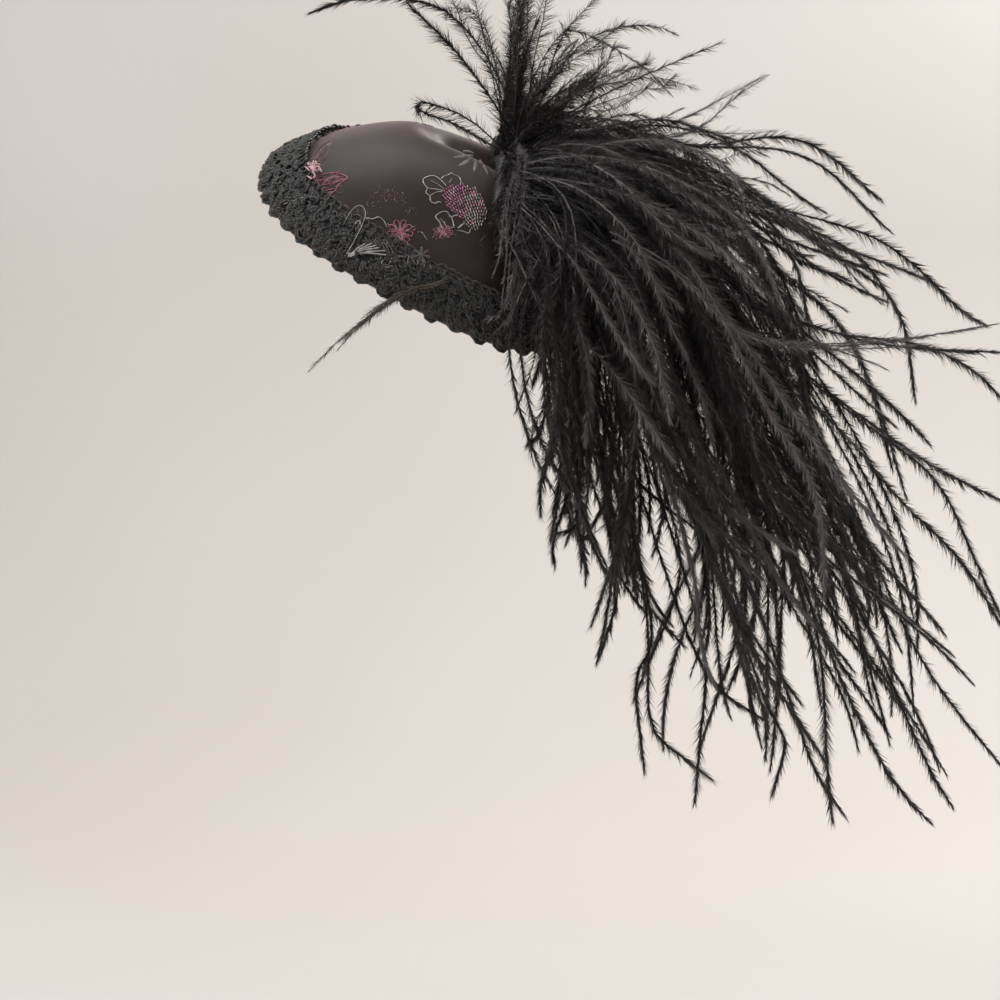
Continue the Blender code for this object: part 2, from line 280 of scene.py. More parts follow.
def even(points, count):
    steps = np.linalg.norm(np.diff(points, axis=0), axis=1)
    length = np.concatenate([[0], np.cumsum(steps)])
    wanted = np.linspace(0, length[-1], count)
    return np.stack([np.interp(wanted, length, points[:, k]) for k in range(3)], axis=-1)


def path_length(points):
    return np.linalg.norm(np.diff(points, axis=0), axis=1).sum()


# Materials


def new_material(name, color, roughness, **sockets):
    made = bpy.data.materials.new(name)
    made.use_nodes = True
    shader = made.node_tree.nodes["Principled BSDF"]
    shader.inputs["Base Color"].default_value = (*color, 1)
    shader.inputs["Roughness"].default_value = roughness
    for key, value in sockets.items():
        shader.inputs[key.replace("_", " ")].default_value = value
    return made, made.node_tree.nodes, made.node_tree.links, shader


def noise_mix(nodes, links, coords, scale, low, high, detail=4.0, ends=(0.35, 0.65)):
    noise = nodes.new("ShaderNodeTexNoise")
    noise.inputs["Scale"].default_value = scale
    noise.inputs["Detail"].default_value = detail
    links.new(coords, noise.inputs["Vector"])
    ramp = nodes.new("ShaderNodeValToRGB")
    ramp.color_ramp.elements[0].position = ends[0]
    ramp.color_ramp.elements[1].position = ends[1]
    ramp.color_ramp.elements[0].color = (*low, 1)
    ramp.color_ramp.elements[1].color = (*high, 1)
    links.new(noise.outputs["Fac"], ramp.inputs["Fac"])
    return ramp.outputs["Color"], noise.outputs["Fac"]


def bump(nodes, links, shader, height, strength, distance):
    made = nodes.new("ShaderNodeBump")
    made.inputs["Strength"].default_value = strength
    made.inputs["Distance"].default_value = distance
    links.new(height, made.inputs["Height"])
    links.new(made.outputs["Normal"], shader.inputs["Normal"])


def stretched(nodes, links, coords, scale, turn=0.0):
    """Coordinates squeezed along one axis, for grain that runs in threads."""
    mapping = nodes.new("ShaderNodeMapping")
    mapping.inputs["Scale"].default_value = scale
    mapping.inputs["Rotation"].default_value = (0, 0, math.radians(turn))
    links.new(coords, mapping.inputs["Vector"])
    return mapping.outputs["Vector"]


def satin_material():
    """Smooth brown-black satin with a soft sheen, drawn threads and slow drifts of colour."""
    made, nodes, links, shader = new_material(
        "brocade_satin_look", (0.03, 0.021, 0.020), 0.4, Sheen_Weight=0.36, Sheen_Roughness=0.4
    )
    shader.inputs["Sheen Tint"].default_value = (0.90, 0.68, 0.72, 1)
    shader.inputs["Anisotropic"].default_value = 0.5
    shader.inputs["Specular IOR Level"].default_value = 0.36
    coords = nodes.new("ShaderNodeTexCoord").outputs["Object"]
    color, _ = noise_mix(
        nodes, links, coords, 34, (0.0245, 0.0140, 0.0115), (0.041, 0.0255, 0.0222)
    )
    figure = nodes.new("ShaderNodeTexVoronoi")
    figure.feature = "SMOOTH_F1"
    figure.inputs["Scale"].default_value = 105
    links.new(coords, figure.inputs["Vector"])
    tone = nodes.new("ShaderNodeMapRange")
    tone.inputs["From Min"].default_value = 0.35
    tone.inputs["From Max"].default_value = 0.75
    tone.inputs["To Min"].default_value = 0.0
    tone.inputs["To Max"].default_value = 0.35
    links.new(figure.outputs["Distance"], tone.inputs["Value"])
    mix = nodes.new("ShaderNodeMix")
    mix.data_type = "RGBA"
    mix.inputs["B"].default_value = (0.055, 0.036, 0.034, 1)
    links.new(tone.outputs["Result"], mix.inputs["Factor"])
    links.new(color, mix.inputs["A"])
    links.new(mix.outputs["Result"], shader.inputs["Base Color"])
    threads = nodes.new("ShaderNodeTexNoise")
    threads.inputs["Scale"].default_value = 1.0
    threads.inputs["Detail"].default_value = 2
    links.new(stretched(nodes, links, coords, (260, 2600, 2600), 28), threads.inputs["Vector"])
    bump(nodes, links, shader, threads.outputs["Fac"], 0.25, 0.00008)
    rough = nodes.new("ShaderNodeMapRange")
    rough.inputs["To Min"].default_value = 0.32
    rough.inputs["To Max"].default_value = 0.50
    links.new(threads.outputs["Fac"], rough.inputs["Value"])
    links.new(rough.outputs["Result"], shader.inputs["Roughness"])
    return made


def comb_material():
    """Moulded black plastic, a little worn to grey where it has rubbed."""
    made, nodes, links, shader = new_material("comb_plastic_look", (0.016, 0.014, 0.013), 0.3)
    coords = nodes.new("ShaderNodeTexCoord").outputs["Object"]
    color, grain = noise_mix(
        nodes, links, coords, 150, (0.013, 0.012, 0.011), (0.030, 0.028, 0.027)
    )
    links.new(color, shader.inputs["Base Color"])
    rough = nodes.new("ShaderNodeMapRange")
    rough.inputs["To Min"].default_value = 0.22
    rough.inputs["To Max"].default_value = 0.45
    links.new(grain, rough.inputs["Value"])
    links.new(rough.outputs["Result"], shader.inputs["Roughness"])
    bump(nodes, links, shader, grain, 0.15, 0.00012)
    return made


def thread_material(name, dark, light, roughness, metallic=0.0, sheen=0.2):
    """Spun thread: colour drifts along it and fine twist shows in its relief."""
    made, nodes, links, shader = new_material(
        name, light, roughness, Metallic=metallic, Sheen_Weight=sheen
    )
    coords = nodes.new("ShaderNodeTexCoord").outputs["Object"]
    color, grain = noise_mix(nodes, links, coords, 420, dark, light)
    links.new(color, shader.inputs["Base Color"])
    bump(nodes, links, shader, grain, 0.4, 0.0002)
    return made


def feather_material(name, dark, light):
    """Near-black feather, browner and lighter towards the tips of its barbs."""
    made, nodes, links, shader = new_material(
        name, dark, 0.42, Sheen_Weight=0.25, Sheen_Roughness=0.3
    )
    shader.inputs["Sheen Tint"].default_value = (0.75, 0.75, 0.8, 1)
    shader.inputs["Specular IOR Level"].default_value = 0.6
    tint = nodes.new("ShaderNodeAttribute")
    tint.attribute_name = "tint"
    ramp = nodes.new("ShaderNodeValToRGB")
    ramp.color_ramp.elements[0].color = (*dark, 1)
    ramp.color_ramp.elements[1].color = (*light, 1)
    links.new(tint.outputs["Fac"], ramp.inputs["Fac"])
    coords = nodes.new("ShaderNodeTexCoord").outputs["Object"]
    noise = nodes.new("ShaderNodeTexNoise")
    noise.inputs["Scale"].default_value = 160
    links.new(coords, noise.inputs["Vector"])
    mix = nodes.new("ShaderNodeMix")
    mix.data_type = "RGBA"
    mix.blend_type = "MULTIPLY"
    mix.inputs["Factor"].default_value = 0.6
    links.new(ramp.outputs["Color"], mix.inputs["A"])
    grey = nodes.new("ShaderNodeValToRGB")
    grey.color_ramp.elements[0].color = (0.45, 0.42, 0.42, 1)
    grey.color_ramp.elements[1].color = (1.3, 1.3, 1.35, 1)
    links.new(noise.outputs["Fac"], grey.inputs["Fac"])
    links.new(grey.outputs["Color"], mix.inputs["B"])
    links.new(mix.outputs["Result"], shader.inputs["Base Color"])
    return made


# Camera, light and floor


def add_camera():
    data = bpy.data.cameras.new("camera")
    camera = bpy.data.objects.new("camera", data)
    scene.collection.objects.link(camera)
    camera.location = from_pixel(500, 500, 0) - np.array([0, CAMERA_DISTANCE, 0])
    camera.rotation_euler = (math.radians(90), 0, 0)
    data.sensor_width = 36
    data.lens = 36 * CAMERA_DISTANCE / (1000 * PIXEL)
    data.clip_start, data.clip_end = 0.05, 20
    scene.camera = camera


def add_light(name, place, aim, size, power, color):
    data = bpy.data.lights.new(name, "AREA")
    data.shape = "DISK"
    data.size = size
    data.energy = power
    data.color = color
    light = bpy.data.objects.new(name, data)
    scene.collection.objects.link(light)
    light.location = place
    away = Vector(place) - Vector(aim)
    light.rotation_euler = away.to_track_quat("Z", "Y").to_euler()


def add_stage():
    """A pale floor that curves up into a plain wall behind."""
    floor_z, front, back, bend, top = -0.36, -2.4, 1.3, 0.5, 2.6
    profile = [(front, floor_z), (back - bend, floor_z)]
    for step in range(1, 13):
        turn = math.pi / 2 * step / 12
        profile.append(
            (back - bend + bend * math.sin(turn), floor_z + bend * (1 - math.cos(turn)))
        )
    profile.append((back, top))
    verts = [(x, y, z) for y, z in profile for x in (-3.5, 3.5)]
    faces = [(2 * i, 2 * i + 1, 2 * i + 3, 2 * i + 2) for i in range(len(profile) - 1)]
    mesh = bpy.data.meshes.new("floor")
    mesh.from_pydata(verts, [], faces)
    mesh.shade_smooth()
    floor = bpy.data.objects.new("floor", mesh)
    scene.collection.objects.link(floor)
    made, nodes, links, shader = new_material("floor_paper", (0.72, 0.685, 0.65), 0.9)
    coords = nodes.new("ShaderNodeTexCoord").outputs["Object"]
    color, grain = noise_mix(
        nodes, links, coords, 1.1, (0.70, 0.66, 0.62), (0.75, 0.73, 0.705), detail=2.0
    )
    links.new(color, shader.inputs["Base Color"])
    mesh.materials.append(made)


def add_lights():
    scene.view_settings.view_transform = "Standard"
    world = bpy.data.worlds.new("studio")
    scene.world = world
    world.use_nodes = True
    back = world.node_tree.nodes["Background"]
    back.inputs["Color"].default_value = (0.98, 0.96, 0.945, 1)
    back.inputs["Strength"].default_value = 0.47
    add_light("key", (-1.3, -0.55, 1.3), (0.0, 0, 0), 0.8, 9.4, (1.0, 0.97, 0.93))
    add_light("rim", (0.9, 0.95, 0.75), (0.08, 0, 0), 0.8, 11.5, (1.0, 0.97, 0.94))
    add_light("top", (-0.2, 0.3, 1.5), (0.0, 0, 0), 1.0, 5, (0.95, 0.97, 1.0))
    add_light("wall", (-0.1, 0.2, 0.6), (-0.1, 1.3, 0.2), 0.8, 1.5, (1.0, 0.99, 0.97))


# Crown


def make_crown(material):
    rings, sides = 52, 156
    angle = 2 * np.pi * np.arange(sides) / sides
    share = np.linspace(0, 1, rings + 1)[1:]
    x = share[:, None] * rim_radius(angle) * np.cos(angle)
    y = share[:, None] * rim_radius(angle) * np.sin(angle)
    pull = 0.00022 * np.sin(9 * angle + 2.0) * np.sin(4 * angle) * share[:, None] ** 3
    outer = over_crown(x, y, pull).reshape(-1, 3)
    middle = over_crown(np.array([0.0]), np.array([0.0]), np.array([0.0]))
    verts = np.vstack([middle, outer])
    faces = []
    for ring in range(rings - 1):
        for side in range(sides):
            a = 1 + ring * sides + side
            b = 1 + ring * sides + (side + 1) % sides
            faces.append((a, a + sides, b + sides, b))
    for side in range(sides):
        faces.append((0, 1 + side, 1 + (side + 1) % sides))
    mesh = bpy.data.meshes.new("crown_cover")
    mesh.from_pydata([tuple(v) for v in verts], [], faces)
    mesh.shade_smooth()
    mesh.materials.append(material)
    made = bpy.data.objects.new("crown_cover", mesh)
    scene.collection.objects.link(made)
    wall = made.modifiers.new("wall", "SOLIDIFY")
    wall.thickness = WALL
    wall.offset = -1
    wall.use_even_offset = True
    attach(made, "root")
    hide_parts("crown")
    return BVHTree.FromPolygons([tuple(v) for v in verts], faces)


# Edge braid


def rim_table():
    """Even places along the rim: angle, outer radius and inner radius of the braid."""
    fine = 2880
    angle = 2 * np.pi * np.arange(fine + 1) / fine
    edge = rim_radius(angle)
    places = np.stack([edge * np.cos(angle), edge * np.sin(angle)], axis=-1)
    length = np.concatenate([[0], np.cumsum(np.linalg.norm(np.diff(places, axis=0), axis=1))])
    total = length[-1]
    inner = np.empty_like(angle)
    steps = 24
    for at in range(0, fine + 1, 24):
        radius = edge[at] - np.arange(60) * TRIM_WIDTH / steps
        track = over_crown(radius * np.cos(angle[at]), radius * np.sin(angle[at]), 0)
        walked = np.concatenate(
            [[0], np.cumsum(np.linalg.norm(np.diff(track, axis=0), axis=1))]
        )
        inner[at] = np.interp(TRIM_WIDTH, walked, radius)
    coarse = np.arange(0, fine + 1, 24)
    inner = np.interp(angle, angle[coarse], inner[coarse])
    return angle, edge, inner, length, total


RIM = rim_table()
SCALLOPS = round(RIM[4] / SCALLOP_PITCH)


def on_braid(along, across, above):
    """World points on the braid: along the rim, across it from its edge, and above."""
    angle, edge, inner, length, total = RIM
    along = np.mod(along, total)
    turn = np.interp(along, length, angle)
    lobe = np.abs(np.sin(np.pi * along / total * SCALLOPS))
    outer = np.interp(along, length, edge) + TRIM_OVERHANG - SCALLOP_DEPTH * (1 - lobe)
    inside = np.interp(along, length, inner)
    radius = outer + (inside - outer) * across
    return over_crown(radius * np.cos(turn), radius * np.sin(turn), above)


def make_braid(cord_look, band_look):
    total = RIM[4]
    band = Parts()
    stations, profile = SCALLOPS * 10, 9
    along = total * np.arange(stations) / stations
    turn = 2 * np.pi * np.arange(profile) / profile
    across = 0.5 + 0.5 * np.cos(turn)
    rise = np.where(np.sin(turn) > 0, 0.0019 * np.sqrt(np.abs(np.sin(turn))), 0.0)
    lobe = np.abs(np.sin(np.pi * along / total * SCALLOPS))
    above = 0.0003 + rise[None] * (0.75 + 0.25 * lobe[:, None])
    verts = on_braid(along[:, None] + 0 * across[None], across[None] + 0 * along[:, None], above)
    rows, cols = np.arange(stations), np.arange(profile)
    after, beside = (rows + 1) % stations, (cols + 1) % profile
    quads = np.stack(
        [
            rows[:, None] * profile + cols,
            after[:, None] * profile + cols,
            after[:, None] * profile + beside,
            rows[:, None] * profile + beside,
        ],
        axis=-1,
    ).reshape(-1, 4)
    band.add(verts, quads)
    base = band.make("braid_band", band_look, "gimp_braid")
    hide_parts("edge_trim")

    make_shells(cord_look)


# Rows of crocheted shells from the edge inwards: share across the braid of their centres,
# how many round the rim (0: one to each scallop), and the radii in mm of their nested arcs
SHELL_ROWS = (
    (0.235, 0, (1.4, 2.7, 3.9)),
    (0.17, 86, (0.7, 1.5, 2.2)),
    (0.33, 80, (0.8, 1.6, 2.4)),
    (0.48, 74, (0.9, 1.8, 2.7)),
    (0.68, 78, (0.8, 1.7, 2.7)),
    (0.88, 84, (0.7, 1.5, 2.3)),
)
CORD_RADIUS = 0.56 * MM


def make_shells(look):
    """Nested arcs of crocheted cord, uneven as handwork is, over rows of small curls."""
    total = RIM[4]
    cords = Parts()
    rng = np.random.default_rng(5)
    for row, (middle, count, radii) in enumerate(SHELL_ROWS):
        loose = count > 0
        count = count or SCALLOPS
        for number in range(count):
            along = total * (number + 0.5 + 0.5 * (row % 2) * loose) / count
            centre = np.array([along, middle * TRIM_WIDTH])
            centre = centre + rng.normal(0, 1, 2) * (0.45 if loose else 0.22) * MM
            lean = rng.normal(0, 0.6 if loose else 0.22)
            flat = rng.uniform(0.82, 1.15)
            for order, radius in enumerate(radii):
                radius = radius * MM * rng.uniform(0.93, 1.07)
                sweep = math.radians(rng.uniform(96, 128))
                steps = max(8, int(2 * sweep * radius / (0.47 * MM)))
                turn = np.linspace(-sweep, sweep, steps) + lean
                wave = rng.uniform(0, 6.3) + turn * radius / (0.55 * MM)
                reach = radius * (1 + 0.07 * np.sin(2.2 * turn + 3 * number + order))
                run = centre[0] + reach * np.sin(turn)
                cross = (centre[1] - flat * reach * np.cos(turn)) / TRIM_WIDTH
                cross = np.clip(cross, 0.02, 1.04)
                above = 2.45 + 0.35 * (row in (1, 2)) - 0.16 * order - 1.5 * (2 * cross - 1) ** 4 + 0.18 * np.sin(wave)
                above = above + rng.normal(0, 0.16) + 0.25 * np.cos(turn)
                width = CORD_RADIUS * (1 + 0.22 * np.sin(1.9 * wave)) * rng.uniform(0.85, 1.12)
                tube(cords, on_braid(run, cross, above * MM), width, 5)
    shells = cords.make("braid_shells", look, "gimp_braid")
    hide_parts("edge_trim")
    cords = Parts()
    for middle, loops in ((0.58, 96), (0.79, 100), (0.965, 110)):
        per = 11
        phase = 2 * np.pi * np.arange(loops * per) / per
        at = np.arange(loops * per) / per
        slow = np.interp(at, np.arange(loops + 1), np.append(*two_ends(rng.normal(0, 1, loops))))
        size = np.interp(at, np.arange(loops + 1), np.append(*two_ends(rng.uniform(0.6, 1.3, loops))))
        along = total * at / loops + 0.0013 * size * np.sin(phase) + 0.0003 * slow
        across = middle + 0.075 * size * np.cos(phase) + 0.015 * slow
        above = 0.0019 + 0.0004 * np.sin(phase + 0.7) + 0.0002 * slow
        tube(cords, on_braid(along, np.clip(across, 0.04, 1.05), above), 0.00046, 5, closed=True)
    curls = cords.make("braid_curls", look, "gimp_braid")
    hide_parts("edge_trim")


def two_ends(values):
    return values, values[0]


# Woven and stitched flowers


def onto_crown(tree, spots, above):
    """Drops points given as photo pixels onto the crown's outer face."""
    eye = from_pixel(500, 500, 0) - np.array([0, CAMERA_DISTANCE, 0])
    found = []
    for px, py in spots:
        aim = unit(from_pixel(px, py, 0) - eye)
        hit = tree.ray_cast(Vector(eye), Vector(aim))
        if hit[0] is None:
            continue
        found.append(np.array(hit[0]) + above * outward(np.array(hit[0])))
    return np.array(found)


def outward(place):
    local = place @ TURN3
    return crown_normal(local[0], local[1]) @ TURN3.T


def around(count):
    return 2 * np.pi * np.arange(count) / count


def petal(length, width, points=15):
    """Outline of one petal that starts and ends at its foot."""
    t = np.linspace(0, 1, points)
    along = length * np.sin(np.pi * t) ** 0.8
    side = width / 2 * np.sin(2 * np.pi * t) * (0.75 + 0.25 * np.sin(np.pi * t))
    return np.stack([along, -side], axis=-1)


def lobed_leaf(length, width, lobes):
    """Outline of a leaf with rounded lobes, from its stalk round to its stalk."""
    t = np.linspace(0.03, 0.97, 14 * lobes)
    turn = np.pi * (2 * t - 1)
    reach = 0.72 + 0.28 * np.abs(np.cos(lobes * turn / 2))
    return np.stack(
        [length * (0.5 - 0.5 * np.cos(2 * np.pi * t)) * reach,
         width * 0.62 * np.sin(turn) * reach],
        axis=-1,
    )


def turned(points, degrees, centre=(0, 0)):
    turn = math.radians(degrees)
    spin = np.array([[math.cos(turn), math.sin(turn)], [-math.sin(turn), math.cos(turn)]])
    return points @ spin + np.array(centre)


def daisy(petals, length, width, start=0, sweep=360):
    strokes = []
    for number in range(petals):
        angle = start + sweep * number / petals
        strokes.append(turned(petal(length, width), angle))
    return strokes


def stitched_fan(rows, radius, start, sweep, rng):
    """Short stitches in rows that spread from one point, like a chrysanthemum."""
    strokes = []
    for row in range(rows):
        reach = radius * (0.12 + 0.88 * (row + 0.5) / rows)
        count = max(3, int(reach * math.radians(sweep) / 2.6))
        for number in range(count):
            angle = start + sweep * (number + 0.5 * (row % 2) + rng.uniform(-0.1, 0.1)) / count
            foot = turned(np.array([[reach, 0.0]]), angle)[0]
            tip = turned(np.array([[reach + radius / rows * 0.95, 0.0]]), angle + 3)[0]
            strokes.append(np.array([foot, (foot + tip) / 2, tip]))
    return strokes


class Embroidery:
    """Threads of one colour laid on the crown."""

    def __init__(self, tree):
        self.tree, self.parts = tree, Parts()

    def on_photo(self, strokes, centre, angle=0, radius=0.16, above=0.10, squash=1.0):
        """Strokes in photo pixels, y down, about a pixel of the photo."""
        for stroke in strokes:
            stroke = turned(np.asarray(stroke, float), angle)
            spots = stroke * np.array([1, squash]) + np.array(centre)
            track = onto_crown(self.tree, spots, above * MM)
            self.stroke(track, radius)

    def on_plan(self, strokes, centre, angle=0, radius=0.16, above=0.10):
        """Strokes in mm about a plan point of the crown, also in mm."""
        for stroke in strokes:
            spots = (turned(np.asarray(stroke, float), angle) + np.array(centre)) * MM
            self.stroke(over_crown(spots[:, 0], spots[:, 1], above * MM), radius)

    def stroke(self, track, radius):
        if len(track) < 2:
            return
        short = len(track) <= 3
        if not short:
            track = bezier(track, max(6, int(path_length(track) / 0.00045)))
        share = np.linspace(0, 1, len(track))
        width = radius * MM * (0.55 + 0.45 * np.sin(np.pi * share)) if short else radius * MM
        tube(self.parts, track, width, 4)

    def make(self, name, look):
        return self.parts.make(name, look, "brocade_satin")


# Outlines of the stitched flowers: thread, its radius and height in mm, and the pixels of the
# photo that it passes through
PHOTO_STITCHES = (
    ("silver", 0.21, 0.12, ((446, 186), (443.5, 183), (440.5, 180), (434, 176), (427, 177),
     (423, 180), (424, 184), (427.5, 188), (432, 189), (437, 189.5), (443, 191))),
    ("silver", 0.16, 0.12, ((430.5, 181), (435, 183), (440, 186), (443, 189))),
    ("silver", 0.21, 0.12, ((441, 179), (444, 176.5), (447.5, 175.5), (450, 174), (451.5, 173),
     (453.5, 175), (457, 176), (459.5, 178), (461, 181.5), (460, 185))),
    ("silver", 0.13, 0.12, ((449, 183), (451, 180), (452, 178))),
    ("silver", 0.20, 0.12, ((427.5, 188.5), (426, 192), (427, 194), (430, 196.5), (430, 199),
     (431, 202), (435, 203.5), (438, 202), (441, 202.5))),
    ("silver", 0.15, 0.12, ((430, 196), (434, 193.5), (438, 192), (442, 192))),
    ("silver", 0.24, 0.12, ((441.5, 228), (439.5, 222), (435.5, 217), (439, 213.5),
     (443.5, 211.5), (447, 212), (449, 215), (451, 217), (453, 222), (454, 228))),
    ("silver", 0.18, 0.12, ((440.5, 218.5), (443, 222), (446.5, 226.5))),
    ("silver", 0.22, 0.12, ((448.8, 216.5), (452, 217), (455, 215.5), (458, 215.5))),
    ("silver", 0.36, 0.15, ((457.5, 228.5), (461, 226), (464.5, 223))),
    ("silver", 0.20, 0.12, ((457, 230.5), (463.5, 231.5), (468.5, 233.5), (470.5, 229))),
    ("silver", 0.14, 0.12, ((422, 232.5), (425, 237), (427.5, 240.5))),
    ("silver", 0.34, 0.12, ((421, 232), (422, 233), (423, 233.5))),
    ("silver", 0.18, 0.60, ((358, 227), (362, 222), (367, 219), (372, 220), (379, 218),
     (384, 222), (387, 228))),
    ("silver", 0.24, 0.60, ((367, 231), (371, 234), (374, 238), (378, 240))),
    ("silver", 0.30, 2.60, ((356, 228), (358, 225), (361, 225), (361, 228))),
    ("silver", 0.14, 3.40, ((348, 224), (352, 217), (358, 211.5), (363, 211.5), (366, 216),
     (366, 222), (362, 232), (356, 244), (349, 256))),
    ("silver", 0.14, 2.60, ((286, 209), (296, 206), (303, 202.5), (313, 201.5))),
    ("silver", 0.14, 0.20, ((313, 201.5), (322, 199), (329, 195), (336, 191))),
    ("pink", 0.19, 0.15, ((303, 181), (311, 178), (323, 174.5), (335, 173), (343, 175),
     (347.5, 178), (342, 182), (338, 186), (335, 191), (328, 196), (319, 199), (311, 199))),
    ("pink", 0.17, 0.15, ((304, 183), (312, 184.5), (318, 181), (325, 180), (333, 177),
     (342, 177.5))),
    ("pink", 0.17, 0.15, ((306, 187), (316, 187), (324, 185), (332, 184), (340, 181))),
    ("pink", 0.17, 0.15, ((309, 191), (316, 190), (322, 192), (329, 190), (336, 189))),
    ("pink", 0.15, 0.15, ((311, 196), (318, 195), (327, 195.5))),
    ("mauve", 0.16, 0.12, ((308, 164), (312, 158), (315, 153), (320, 147), (324, 144),
     (332, 141.5), (329, 149), (326, 157), (321, 163), (315, 167))),
    ("mauve", 0.13, 0.12, ((311, 166), (318, 158), (325, 150), (332, 141.5))),
)
# Whole petals worked in pale thread on the gutter's rounded edge: foot and tip
RIDGE_PETALS = (
    ((473, 155.5), (454, 157.5)), ((473, 158.5), (459, 166)), ((476.5, 160), (474, 171)),
    ((480.5, 160), (488, 174)), ((474, 153.5), (463, 151)),
)
# The chrysanthemum's outline and the point that its stitches aim at
MUM_EDGE = (
    (445, 187), (462, 183.5), (476, 189), (484, 199), (488, 211), (485, 222), (476, 232),
    (469, 229), (463, 221), (455, 213.5), (446, 205), (442.5, 196),
)
MUM_FOCUS = (480, 236)


def inside_outline(spots, edge):
    edge = np.asarray(edge, float)
    after = np.roll(edge, -1, axis=0)
    x, y = spots[:, :1], spots[:, 1:]
    spans = (edge[:, 1] > y) != (after[:, 1] > y)
    reach = (after[:, 0] - edge[:, 0]) * (y - edge[:, 1]) / (after[:, 1] - edge[:, 1] + 1e-9)
    return (spans & (x < edge[:, 0] + reach)).sum(axis=1) % 2 == 1


def stitch_chrysanthemum(threads, rng):
    """Close short stitches in arcs, with whiter thread laid where the satin turns to the light as a painted highlight.
    """
    for radius in np.arange(8, 64, 3.3):
        count = int(radius * math.radians(160) / 2.5)
        for number in range(count):
            angle = math.radians(190 + 160 * (number + 0.5 * (int(radius) % 2)) / count)
            foot = radius * np.array([math.cos(angle), math.sin(angle)]) + MUM_FOCUS
            if not inside_outline(foot[None], MUM_EDGE)[0]:
                continue
            away = unit(foot - np.array(MUM_FOCUS))
            half = rng.uniform(1.1, 1.6) * away + rng.normal(0, 0.25, 2)
            # Painted highlight: the stitches turn whiter on the flower's right and lower part, where the satin faces
            # the light.
            bright = rng.uniform() + 0.45 * (foot[0] > 463) + 0.3 * (foot[1] > 212)
            kind = "silver" if bright > 1.12 else "blush" if bright > 0.75 else "plum"
            threads[kind].on_photo(
                [np.array([-half, (0, 0), half])], foot, radius=rng.uniform(0.24, 0.35), above=0.2
            )


